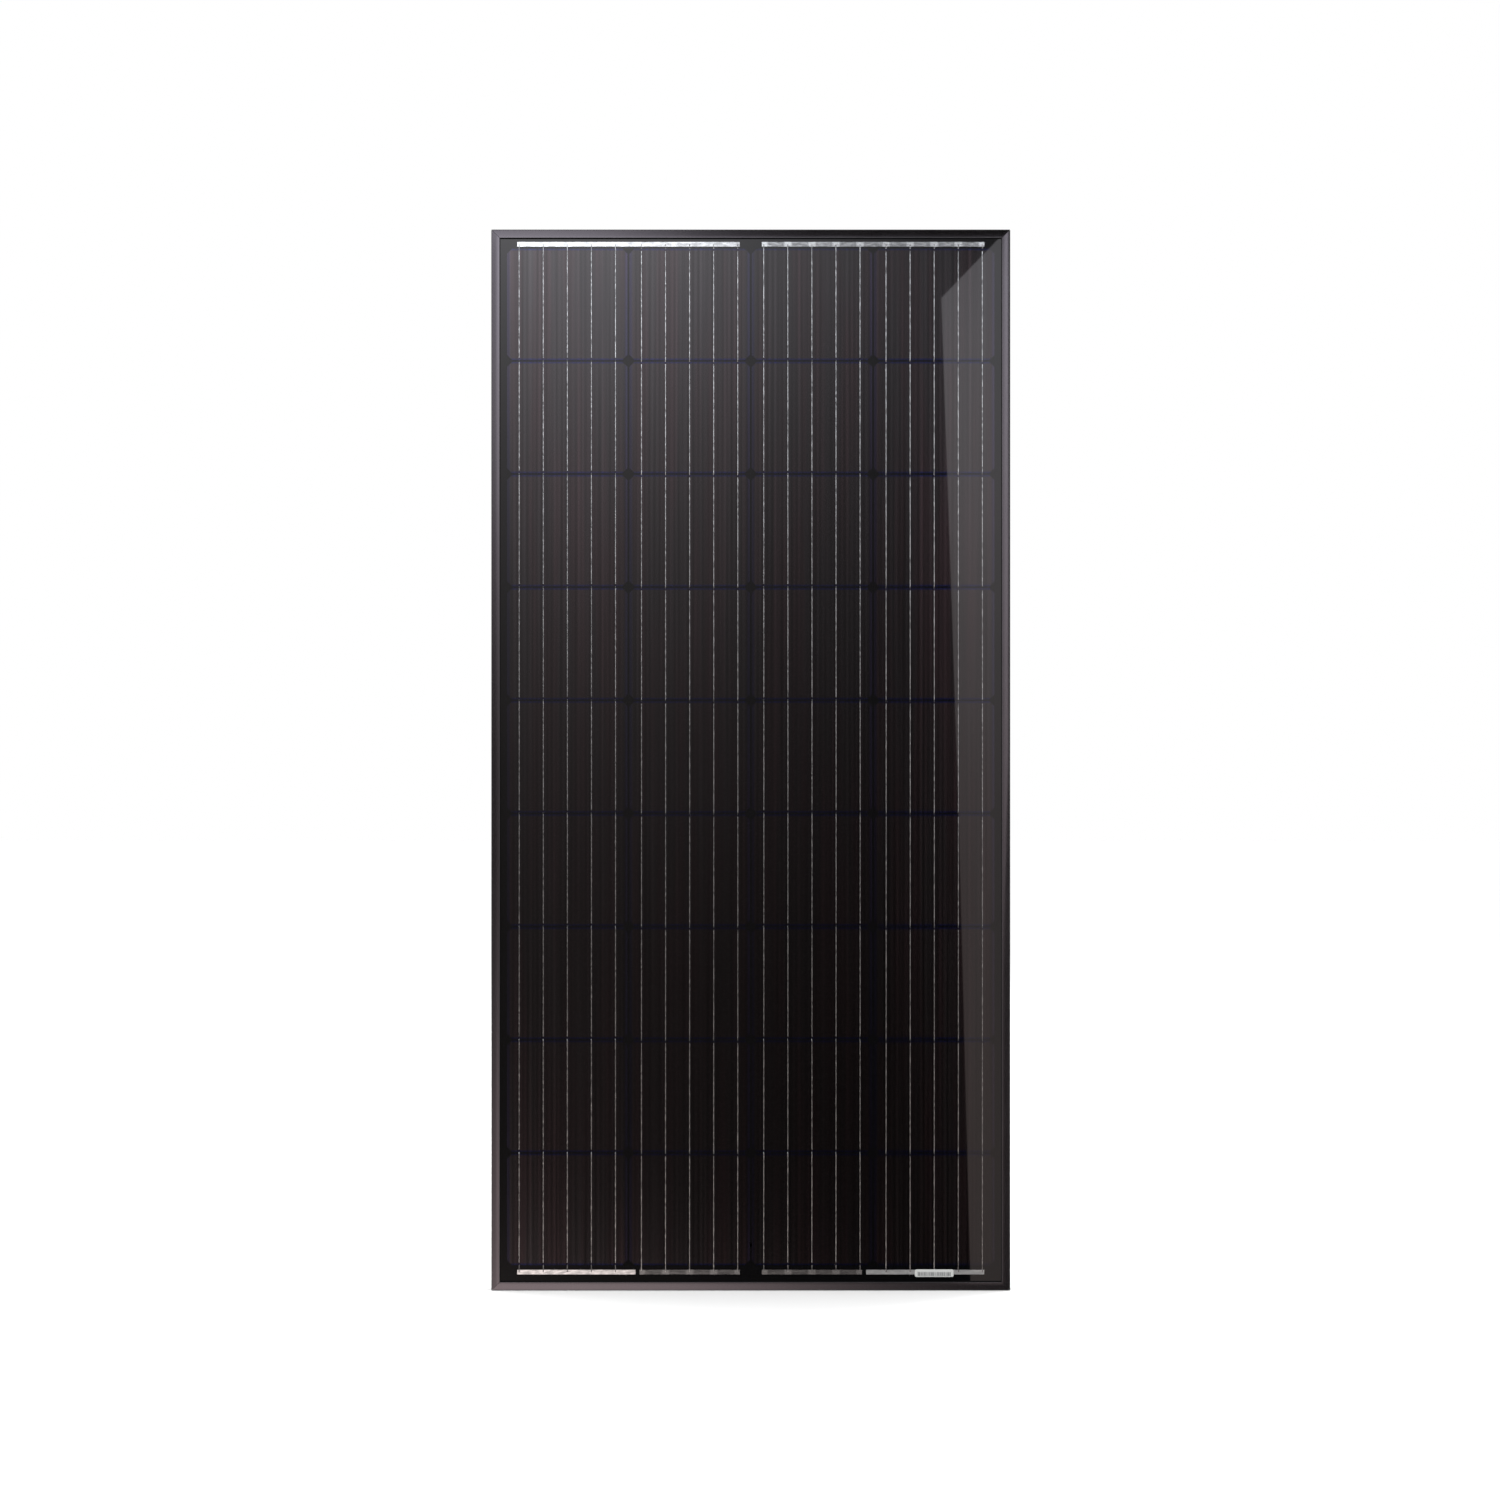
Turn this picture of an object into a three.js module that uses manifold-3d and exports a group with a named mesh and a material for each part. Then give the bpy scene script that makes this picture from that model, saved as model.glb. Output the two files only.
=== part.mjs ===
// Framed photovoltaic panel: 36 cells in four strings of nine, laminated behind one sheet of glass.
//
// Millimetres. The panel stands upright and faces -Y, with X across it and Z up it. The origin is the
// centre of the rear mounting plane, which is the outer face of the frame's rear flanges, so the whole
// panel lies at Y = 0 and below. "Front" is the smaller Y of a layer and "rear" the larger.

import * as THREE from 'three';
import { mergeVertices } from 'three/addons/utils/BufferGeometryUtils.js';
import Module from 'manifold-3d';

const wasm = await Module();
wasm.setup();

// ---------------------------------------------------------------- driving dimensions

const PANEL_WIDTH = 675;
const PANEL_HEIGHT = 1380;
const PANEL_DEPTH = 35;

const STRINGS = 4;
const CELLS_PER_STRING = 9;
const CELL_WIDTH = 156.75;
const CELL_HEIGHT = 144.8;
const CELL_GAP = 2.5;
const CELL_CORNER = 6.5; // leg of the cut at each corner of a cell
const TOP_MARGIN = 24.4; // from the panel's top edge to the first row of cells
const BUSBARS = 5; // tabbing ribbons on each cell

// Layers of the laminate. The encapsulant flows round the tabbing ribbons, which lie in RIBBON_SPACE.
const GLASS_THICKNESS = 3.2;
const ENCAPSULANT_THICKNESS = 0.4;
const CELL_THICKNESS = 0.2;
const BACKSHEET_THICKNESS = 0.35;
const RIBBON_SPACE = 0.25;
const LAYER_GAP = 0.05;

// Frame section: a front lip, a groove for the laminate, a hollow chamber and a rear flange.
const WALL = 1.6;
const WEB = 1.4;
const LIP_WIDTH = 11;
const LIP_BEVEL = 0.9;
const LIP_INNER_BEVEL = 0.45;
const CHAMBER_WIDTH = 8.5;
const CHAMBER_DEPTH = 12;
const FLANGE_WIDTH = 28;
const FLANGE_THICKNESS = 1.8;
const MITRE_GAP = 0.3;

// Holes in the frame
const SLOT_WIDTH = 9;
const SLOT_LENGTH = 14;
const SLOT_CORNER = 4.49; // a hair under half the width, so that the sides stay straight
const SLOT_INSET = 17; // from the frame's outer face to the middle of a slot
const SLOT_HEIGHTS = [-480, -250, 250, 480];
const GROUNDING_RADIUS = 2.2;
const DRAIN_WIDTH = 3;
const DRAIN_LENGTH = 9;
const DRAIN_OFFSET = 240; // from the middle of a short rail to each of its drain slots

// Edge seal, a channel that wraps the rim of the laminate
const LAMINATE_INSET = 4.2; // from the frame's outer face to the edge of the glass
const SEAL_LEG = 1;
const SEAL_GAP = 0.1;
const SEAL_INSET = 0.7; // how far the seal's legs stop short of the lip's edge

const KEY_LEG = 56;
const KEY_GAP = 0.4;

// Bus ribbons
const BUS_WIDTH = 6;
const TOP_BUS_HEIGHT = 671.5; // Z of the ribbons at the top end
const BOTTOM_BUS_HEIGHT = -666.8;
const BUS_OVERHANG = 2.5; // past the outermost tabbing ribbon
const LEAD_OVERHANG = 26; // of the outer strings' ribbons, towards the middle

// Junction box, bonded to the backsheet behind the bottom end
const BOX_WIDTH = 112;
const BOX_HEIGHT = 96;
const BOX_BOTTOM = -644;
const BOX_DEPTH = 18.5;
const BOX_CORNER = 6;
const BOX_WALL = 2.2;
const BOX_FLOOR = 2;
const BOND_GAP = 0.3;
const WINDOW_WIDTH = 70; // of the opening for the lead-out ribbons
const WINDOW_HEIGHT = 9;
const WINDOW_OFFSET = 12; // from the box's lower edge to the middle of the opening
const WINDOW_MARGIN = 2; // how far the laminate's opening stays inside the box's
const PLINTH_WIDTH = 92;
const PLINTH_LENGTH = 40;
const PLINTH_HEIGHT = 4;
const FINS = 4;
const FIN_HEIGHT = 10;
const FIN_THICKNESS = 1.6;
const TERMINAL_PITCH = 23;
const GASKET_THICKNESS = 1.2;
const GASKET_GAP = 0.1;

// Lid and its hinges
const LID_THICKNESS = 2.2;
const LID_EDGE_GAP = 0.3;
const LID_PAD_INSET = 9;
const LID_PAD_RISE = 0.6;
const RIM_GAP = 0.6;
const RIM_THICKNESS = 1.4;
const RIM_DEPTH = 3;
const HINGE_OFFSET = 43; // from the middle of the lid to each hinge
const HINGE_RISE = 4.2; // from the box's upper wall to the hinge axis
const HINGE_DROP = 0.6; // from the lid's inner face out to the hinge axis
const BARREL_RADIUS = 2.6;
const BARREL_LENGTH = 8;
const PIN_RADIUS = 1.4;
const PIN_REACH = 2.4;
const LUG_RADIUS = 3.4;
const LUG_BORE = 1.8;
const LUG_THICKNESS = 2.8;
const LUG_GAP = 0.4;
const LUG_ROOT = 8; // how far a lug's gusset runs down the wall
const TAB_OFFSET = 30;
const TAB_WIDTH = 12;
const TAB_THICKNESS = 1.8;
const TAB_LENGTH = 9;
const TAB_GAP = 0.4;
const CATCH_HEIGHT = 2.5;

// Cable glands
const GLAND_OFFSET = 24;
const GLAND_AXIS = 10; // from the box's floor face to the gland's axis
const SPIGOT_RADIUS = 7;
const SPIGOT_LENGTH = 12;
const SPIGOT_BORE = 4.6;
const NUT_FLAT = 8.75; // half the distance across flats
const NUT_GAP = 0.3;
const NUT_START = 2.5;
const NUT_LENGTH = 13.5;
const NUT_CAP = 2.6;
const NUT_HOLE = 4;
const NUT_DOME = 3.2;
const NUT_TAPER = 2.56; // how much the dome narrows the nut
const DOME_ANGLE = Math.PI / 3;
const DOME_STEPS = 4;

const ROUND_STEPS = 28; // facets of a full turn

// ---------------------------------------------------------------- places worked out from them

const HALF_WIDTH = PANEL_WIDTH / 2;
const HALF_HEIGHT = PANEL_HEIGHT / 2;
const OVERCUT = 1; // how far a cutting solid runs past the face that it cuts

const grooveFront = -PANEL_DEPTH + WALL;
const glass = layer(grooveFront + SEAL_GAP + SEAL_LEG + SEAL_GAP, GLASS_THICKNESS);
const encapsulantFront = layer(glass.rear + LAYER_GAP, ENCAPSULANT_THICKNESS);
const cells = layer(encapsulantFront.rear + RIBBON_SPACE, CELL_THICKNESS);
const encapsulantRear = layer(cells.rear + RIBBON_SPACE, ENCAPSULANT_THICKNESS);
const backsheet = layer(encapsulantRear.rear + LAYER_GAP, BACKSHEET_THICKNESS);
const grooveRear = backsheet.rear + SEAL_GAP + SEAL_LEG + SEAL_GAP;
const chamber = layer(grooveRear + WEB, CHAMBER_DEPTH);

const stringPitch = CELL_WIDTH + CELL_GAP;
const cellPitch = CELL_HEIGHT + CELL_GAP;
const busbarPitch = CELL_WIDTH / BUSBARS;

const boxFloor = layer(backsheet.rear + BOND_GAP, BOX_FLOOR);
const boxRim = boxFloor.front + BOX_DEPTH;
const boxTop = BOX_BOTTOM + BOX_HEIGHT;
const boxMiddle = BOX_BOTTOM + BOX_HEIGHT / 2;
const gasketLayer = layer(boxRim + GASKET_GAP, GASKET_THICKNESS);
const lidLayer = layer(gasketLayer.rear + GASKET_GAP, LID_THICKNESS);
const hingeAxis = { y: lidLayer.front + HINGE_DROP, z: boxTop + HINGE_RISE };
const glandDepth = boxFloor.front + GLAND_AXIS;

function layer(front, thickness) {
  return { front, rear: front + thickness };
}

// ---------------------------------------------------------------- shapes and solids

// Outlines are drawn in X and Z, as seen from the front.
function outline(points) {
  return new THREE.Shape(points.map(([x, z]) => new THREE.Vector2(x, z)));
}

function rectangle(halfWidth, halfHeight, x = 0, z = 0) {
  return outline([
    [x - halfWidth, z - halfHeight],
    [x + halfWidth, z - halfHeight],
    [x + halfWidth, z + halfHeight],
    [x - halfWidth, z + halfHeight],
  ]);
}

function roundedRectangle(halfWidth, halfHeight, radius, x = 0, z = 0) {
  const shape = new THREE.Shape();
  const right = x + halfWidth - radius;
  const left = x - halfWidth + radius;
  const top = z + halfHeight - radius;
  const bottom = z - halfHeight + radius;
  shape.absarc(right, top, radius, 0, Math.PI / 2);
  shape.absarc(left, top, radius, Math.PI / 2, Math.PI);
  shape.absarc(left, bottom, radius, Math.PI, Math.PI * 1.5);
  shape.absarc(right, bottom, radius, Math.PI * 1.5, Math.PI * 2);
  return shape;
}

// A plate with its outline in X and Z, reaching from one Y to another.
function plate(shape, front, rear) {
  const geometry = new THREE.ExtrudeGeometry(shape, {
    depth: rear - front,
    bevelEnabled: false,
    curveSegments: ROUND_STEPS / 4,
  });
  geometry.rotateX(Math.PI / 2);
  geometry.translate(0, rear, 0);
  return geometry;
}

function layerPlate(shape, { front, rear }) {
  return plate(shape, front, rear);
}

function block(x0, x1, y0, y1, z0, z1) {
  const geometry = new THREE.BoxGeometry(x1 - x0, y1 - y0, z1 - z0);
  geometry.translate((x0 + x1) / 2, (y0 + y1) / 2, (z0 + z1) / 2);
  return geometry;
}

function rodAlongX(radius, length, x, y, z) {
  const geometry = new THREE.CylinderGeometry(radius, radius, length, ROUND_STEPS);
  geometry.rotateZ(Math.PI / 2);
  geometry.translate(x, y, z);
  return geometry;
}

function rodAlongZ(radius, z0, z1, x, y) {
  const geometry = new THREE.CylinderGeometry(radius, radius, z1 - z0, ROUND_STEPS);
  geometry.rotateX(Math.PI / 2);
  geometry.translate(x, y, (z0 + z1) / 2);
  return geometry;
}

function solid(geometry) {
  const bare = geometry.clone();
  bare.deleteAttribute('normal');
  bare.deleteAttribute('uv');
  const merged = mergeVertices(bare);
  return new wasm.Manifold(new wasm.Mesh({
    numProp: 3,
    vertProperties: new Float32Array(merged.attributes.position.array),
    triVerts: new Uint32Array(merged.index.array),
  }));
}

function geometryOf(shape) {
  const mesh = shape.getMesh();
  const geometry = new THREE.BufferGeometry();
  geometry.setAttribute('position', new THREE.BufferAttribute(mesh.vertProperties, mesh.numProp));
  geometry.setIndex(new THREE.BufferAttribute(mesh.triVerts, 1));
  geometry.computeVertexNormals();
  return geometry;
}

function joined(body, pieces) {
  return pieces.reduce((whole, piece) => whole.add(solid(piece)), body);
}

function cut(body, tools) {
  return tools.reduce((whole, tool) => whole.subtract(solid(tool)), body);
}

// ---------------------------------------------------------------- materials

function material(color, roughness, metalness, opacity = 1) {
  return new THREE.MeshStandardMaterial({
    color, roughness, metalness, opacity, transparent: opacity < 1,
  });
}

const anodised = () => material(0x18171a, 0.42, 0.75);
const toughenedGlass = () => material(0xdfe8ea, 0.05, 0, 0.18);
const clearEncapsulant = () => material(0xe8ecee, 0.3, 0, 0.15);
const silicon = () => material(0x120f12, 0.3, 0.1);
const solderedCopper = () => material(0xb9b7b4, 0.35, 0.9);
const blackFilm = () => material(0x0d0d0f, 0.6, 0);
const blackPlastic = () => material(0x17171a, 0.5, 0);
const blackRubber = () => material(0x101012, 0.8, 0);
const milledAluminium = () => material(0x9a9c9f, 0.4, 0.9);

function named(name, geometry, look) {
  const mesh = new THREE.Mesh(geometry, look);
  mesh.name = name;
  return mesh;
}

// ---------------------------------------------------------------- frame

// Section of a rail: x is the distance inwards from the frame's outer face, y the depth.
function railSection() {
  const front = -PANEL_DEPTH;
  const shelf = WALL + CHAMBER_WIDTH + WEB;
  const section = outline([
    [0, front + LIP_BEVEL],
    [LIP_BEVEL, front],
    [LIP_WIDTH - LIP_INNER_BEVEL, front],
    [LIP_WIDTH, front + LIP_INNER_BEVEL],
    [LIP_WIDTH, grooveFront],
    [WALL, grooveFront],
    [WALL, grooveRear],
    [shelf, grooveRear],
    [shelf, chamber.rear + WEB],
    [WALL, chamber.rear + WEB],
    [WALL, -FLANGE_THICKNESS],
    [FLANGE_WIDTH, -FLANGE_THICKNESS],
    [FLANGE_WIDTH, 0],
    [0, 0],
  ]);
  const hollow = [
    [WALL, chamber.front],
    [WALL, chamber.rear],
    [WALL + CHAMBER_WIDTH, chamber.rear],
    [WALL + CHAMBER_WIDTH, chamber.front],
  ];
  section.holes.push(new THREE.Path(hollow.map(([x, y]) => new THREE.Vector2(x, y))));
  return section;
}

// A rail on the left side, its outer face at x = -half, mitred at both ends.
function rail(half, length, tools) {
  const bar = new THREE.ExtrudeGeometry(railSection(), { depth: length, bevelEnabled: false });
  bar.translate(-half, 0, -length / 2);
  const end = length / 2 - (MITRE_GAP * Math.SQRT2) / 2;
  const reach = FLANGE_WIDTH + OVERCUT;
  const mitred = plate(outline([
    [-half - OVERCUT, -end - OVERCUT],
    [-half + reach, -end + reach],
    [-half + reach, end - reach],
    [-half - OVERCUT, end + OVERCUT],
  ]), -PANEL_DEPTH - OVERCUT, OVERCUT);
  return cut(solid(bar).intersect(solid(mitred)), tools);
}

function flangeTool(shape) {
  return plate(shape, -FLANGE_THICKNESS - OVERCUT, OVERCUT);
}

function longRail(name, turn) {
  const slotX = -HALF_WIDTH + SLOT_INSET;
  const slots = SLOT_HEIGHTS.map((height) => flangeTool(
    roundedRectangle(SLOT_WIDTH / 2, SLOT_LENGTH / 2, SLOT_CORNER, slotX, height),
  ));
  const grounding = new THREE.Shape().absarc(slotX, 0, GROUNDING_RADIUS, 0, Math.PI * 2);
  const body = rail(HALF_WIDTH, PANEL_HEIGHT, [...slots, flangeTool(grounding)]);
  const mesh = named(name, geometryOf(body), anodised());
  mesh.rotation.y = turn;
  return mesh;
}

function shortRail(name, turn) {
  const drainDepth = chamber.rear + WEB + DRAIN_WIDTH;
  const drains = [-DRAIN_OFFSET, DRAIN_OFFSET].map((along) => block(
    -HALF_HEIGHT - OVERCUT, -HALF_HEIGHT + WALL + OVERCUT,
    drainDepth, drainDepth + DRAIN_WIDTH,
    along - DRAIN_LENGTH / 2, along + DRAIN_LENGTH / 2,
  ));
  const body = rail(HALF_HEIGHT, PANEL_WIDTH, drains);
  const mesh = named(name, geometryOf(body), anodised());
  mesh.rotation.y = turn;
  return mesh;
}

// An L-shaped key that fills the hollow chambers of two rails where they meet.
function cornerKey(name, x, z, turn) {
  const outer = WALL + KEY_GAP;
  const inner = WALL + CHAMBER_WIDTH - KEY_GAP;
  const shape = outline([
    [outer, -outer],
    [outer, -KEY_LEG],
    [inner, -KEY_LEG],
    [inner, -inner],
    [KEY_LEG, -inner],
    [KEY_LEG, -outer],
  ]);
  const geometry = plate(shape, chamber.front + KEY_GAP, chamber.rear - KEY_GAP);
  const mesh = named(name, geometry, milledAluminium());
  mesh.position.set(x, 0, z);
  mesh.rotation.y = turn;
  return mesh;
}

function frame() {
  const group = new THREE.Group();
  group.add(longRail('frame_rail_left', 0));
  group.add(longRail('frame_rail_right', Math.PI));
  group.add(shortRail('frame_rail_top', Math.PI / 2));
  group.add(shortRail('frame_rail_bottom', -Math.PI / 2));
  group.add(cornerKey('corner_key_top_left', -HALF_WIDTH, HALF_HEIGHT, 0));
  group.add(cornerKey('corner_key_top_right', HALF_WIDTH, HALF_HEIGHT, Math.PI / 2));
  group.add(cornerKey('corner_key_bottom_left', -HALF_WIDTH, -HALF_HEIGHT, -Math.PI / 2));
  group.add(cornerKey('corner_key_bottom_right', HALF_WIDTH, -HALF_HEIGHT, Math.PI));
  return group;
}

// ---------------------------------------------------------------- laminate

function sheet(inset) {
  return rectangle(HALF_WIDTH - inset, HALF_HEIGHT - inset);
}

function leadWindow(margin) {
  const z = BOX_BOTTOM + WINDOW_OFFSET;
  return rectangle(WINDOW_WIDTH / 2 - margin, WINDOW_HEIGHT / 2 - margin, 0, z);
}

function windowedSheet(name, place, look) {
  const shape = sheet(LAMINATE_INSET);
  shape.holes.push(leadWindow(WINDOW_MARGIN));
  return named(name, layerPlate(shape, place), look);
}

// A ring of channel section, open inwards, that holds the rim of the laminate in the groove.
function edgeSeal() {
  const ring = sheet(WALL + SEAL_GAP);
  ring.holes.push(sheet(LIP_WIDTH - SEAL_INSET));
  const body = solid(plate(ring, grooveFront + SEAL_GAP, grooveRear - SEAL_GAP));
  const rim = plate(sheet(LAMINATE_INSET - SEAL_GAP), glass.front - SEAL_GAP, backsheet.rear + SEAL_GAP);
  return named('edge_seal', geometryOf(cut(body, [rim])), blackRubber());
}

function stringX(string) {
  return (string - (STRINGS - 1) / 2) * stringPitch;
}

function cellZ(row) {
  return HALF_HEIGHT - TOP_MARGIN - CELL_HEIGHT / 2 - row * cellPitch;
}

function cellShape() {
  const x = CELL_WIDTH / 2;
  const z = CELL_HEIGHT / 2;
  const corner = CELL_CORNER;
  return outline([
    [x, z - corner],
    [x - corner, z],
    [-x + corner, z],
    [-x, z - corner],
    [-x, -z + corner],
    [-x + corner, -z],
    [x - corner, -z],
    [x, -z + corner],
  ]);
}

function cellStrings() {
  const group = new THREE.Group();
  for (let string = 0; string < STRINGS; string += 1) {
    for (let row = 0; row < CELLS_PER_STRING; row += 1) {
      const name = `solar_cell_string_${string + 1}_row_${row + 1}`;
      const cell = named(name, layerPlate(cellShape(), cells), silicon());
      cell.position.set(stringX(string), 0, cellZ(row));
      group.add(cell);
    }
  }
  return group;
}

function busRibbon(name, left, right, height) {
  const shape = rectangle((right - left) / 2, BUS_WIDTH / 2);
  const mesh = named(name, layerPlate(shape, cells), solderedCopper());
  mesh.position.set((left + right) / 2, 0, height);
  return mesh;
}

// Two ribbons at the top join the strings in pairs, and each free end at the bottom has its own.
// The outer strings' ribbons run on towards the middle, where their leads go to the junction box.
function busRibbons() {
  const group = new THREE.Group();
  const reach = ((BUSBARS - 1) / 2) * busbarPitch + BUS_OVERHANG;
  for (const [side, first, last] of [['left', 0, 1], ['right', 2, 3]]) {
    const name = `bus_ribbon_top_${side}`;
    group.add(busRibbon(name, stringX(first) - reach, stringX(last) + reach, TOP_BUS_HEIGHT));
  }
  for (let string = 0; string < STRINGS; string += 1) {
    const leftLead = string === STRINGS - 1 ? LEAD_OVERHANG - BUS_OVERHANG : 0;
    const rightLead = string === 0 ? LEAD_OVERHANG - BUS_OVERHANG : 0;
    const left = stringX(string) - reach - leftLead;
    const right = stringX(string) + reach + rightLead;
    group.add(busRibbon(`bus_ribbon_bottom_${string + 1}`, left, right, BOTTOM_BUS_HEIGHT));
  }
  return group;
}

function laminate() {
  const group = new THREE.Group();
  group.add(edgeSeal());
  group.add(named('front_glass', layerPlate(sheet(LAMINATE_INSET), glass), toughenedGlass()));
  const front = layerPlate(sheet(LAMINATE_INSET), encapsulantFront);
  group.add(named('encapsulant_front', front, clearEncapsulant()));
  group.add(cellStrings());
  group.add(busRibbons());
  group.add(windowedSheet('encapsulant_rear', encapsulantRear, clearEncapsulant()));
  group.add(windowedSheet('backsheet', backsheet, blackFilm()));
  return group;
}

// ---------------------------------------------------------------- junction box

function boxOutline(inset) {
  const radius = Math.max(BOX_CORNER - inset, 1);
  return roundedRectangle(BOX_WIDTH / 2 - inset, BOX_HEIGHT / 2 - inset, radius, 0, boxMiddle);
}

function boxRing(outerInset, innerInset) {
  const ring = boxOutline(outerInset);
  ring.holes.push(boxOutline(innerInset));
  return ring;
}

// A lug on the box's upper wall, with an eye for one of the lid's hinge pins.
function hingeLug(x) {
  const clear = boxRim - LID_EDGE_GAP;
  const profile = outline([
    [-boxTop + BOX_WALL / 2, clear - LUG_ROOT],
    [-boxTop + BOX_WALL / 2, clear],
    [-boxTop - HINGE_RISE + LUG_RADIUS, clear],
    [-boxTop - HINGE_RISE + LUG_RADIUS, hingeAxis.y],
    [-boxTop - HINGE_RISE - LUG_RADIUS, hingeAxis.y],
  ]);
  const gusset = new THREE.ExtrudeGeometry(profile, { depth: LUG_THICKNESS, bevelEnabled: false });
  gusset.rotateY(Math.PI / 2);
  gusset.translate(x - LUG_THICKNESS / 2, 0, 0);
  return [gusset, rodAlongX(LUG_RADIUS, LUG_THICKNESS, x, hingeAxis.y, hingeAxis.z)];
}

function sides(offset) {
  return [-offset, offset];
}

function lugPlaces() {
  const lugOffset = BARREL_LENGTH / 2 + LUG_GAP + LUG_THICKNESS / 2;
  return sides(HINGE_OFFSET).flatMap((x) => sides(lugOffset).map((step) => x + step));
}

function terminalFins() {
  const plinthBottom = boxMiddle - PLINTH_LENGTH / 2;
  const fins = Array.from({ length: FINS }, (_, fin) => (fin - (FINS - 1) / 2) * TERMINAL_PITCH);
  const base = block(
    -PLINTH_WIDTH / 2, PLINTH_WIDTH / 2,
    boxFloor.rear - OVERCUT, boxFloor.rear + PLINTH_HEIGHT,
    plinthBottom, plinthBottom + PLINTH_LENGTH,
  );
  return [base, ...fins.map((x) => block(
    x - FIN_THICKNESS / 2, x + FIN_THICKNESS / 2,
    boxFloor.rear - OVERCUT, boxFloor.rear + FIN_HEIGHT,
    plinthBottom, plinthBottom + PLINTH_LENGTH / 2,
  ))];
}

function boxBase() {
  const spigots = sides(GLAND_OFFSET).map((x) => rodAlongZ(
    SPIGOT_RADIUS, boxTop - BOX_WALL / 2, boxTop + SPIGOT_LENGTH, x, glandDepth,
  ));
  const catches = sides(TAB_OFFSET).map((x) => block(
    x - TAB_WIDTH / 2, x + TAB_WIDTH / 2,
    lidLayer.rear - TAB_LENGTH - TAB_GAP - CATCH_HEIGHT, lidLayer.rear - TAB_LENGTH - TAB_GAP,
    BOX_BOTTOM - TAB_GAP - TAB_THICKNESS, BOX_BOTTOM + BOX_WALL / 2,
  ));
  const shell = cut(solid(plate(boxOutline(0), boxFloor.front, boxRim)), [
    plate(boxOutline(BOX_WALL), boxFloor.rear, boxRim + OVERCUT),
  ]);
  const body = joined(shell, [
    ...terminalFins(), ...spigots, ...catches, ...lugPlaces().flatMap(hingeLug),
  ]);
  const bores = sides(GLAND_OFFSET).map((x) => rodAlongZ(
    SPIGOT_BORE, boxTop - BOX_WALL - OVERCUT, boxTop + SPIGOT_LENGTH + OVERCUT, x, glandDepth,
  ));
  const eyes = lugPlaces().map((x) => rodAlongX(
    LUG_BORE, LUG_THICKNESS + OVERCUT, x, hingeAxis.y, hingeAxis.z,
  ));
  const window = plate(leadWindow(0), boxFloor.front - OVERCUT, boxFloor.rear + OVERCUT);
  return named('junction_box_base', geometryOf(cut(body, [...bores, ...eyes, window])), blackPlastic());
}

function lidGasket() {
  const ring = boxRing(LID_EDGE_GAP, BOX_WALL + GASKET_GAP);
  return named('lid_gasket', layerPlate(ring, gasketLayer), blackRubber());
}

// One hinge of the lid: an arm that ends in a barrel, with a pin out of each end of the barrel.
function lidHinge(x) {
  const arm = block(
    x - BARREL_LENGTH / 2, x + BARREL_LENGTH / 2,
    lidLayer.front, lidLayer.rear,
    boxTop - BOX_CORNER, hingeAxis.z,
  );
  const pinLength = BARREL_LENGTH + 2 * PIN_REACH;
  return [
    arm,
    rodAlongX(BARREL_RADIUS, BARREL_LENGTH, x, hingeAxis.y, hingeAxis.z),
    rodAlongX(PIN_RADIUS, pinLength, x, hingeAxis.y, hingeAxis.z),
  ];
}

// A snap tab that hangs over the box's lower wall.
function lidTab(x) {
  const outside = BOX_BOTTOM - TAB_GAP;
  return [
    block(
      x - TAB_WIDTH / 2, x + TAB_WIDTH / 2, lidLayer.front, lidLayer.rear,
      outside - TAB_THICKNESS, BOX_BOTTOM + BOX_CORNER,
    ),
    block(
      x - TAB_WIDTH / 2, x + TAB_WIDTH / 2, lidLayer.rear - TAB_LENGTH, lidLayer.rear,
      outside - TAB_THICKNESS, outside,
    ),
  ];
}

function lid() {
  const rimInset = BOX_WALL + RIM_GAP;
  const rim = boxRing(rimInset, rimInset + RIM_THICKNESS);
  const cover = solid(layerPlate(boxOutline(LID_EDGE_GAP), lidLayer));
  const body = joined(cover, [
    plate(rim, lidLayer.front - RIM_DEPTH, lidLayer.rear),
    plate(boxOutline(LID_PAD_INSET), lidLayer.front, lidLayer.rear + LID_PAD_RISE),
    ...sides(HINGE_OFFSET).flatMap(lidHinge),
    ...sides(TAB_OFFSET).flatMap(lidTab),
  ]);
  return named('junction_box_lid', geometryOf(body), blackPlastic());
}

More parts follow.
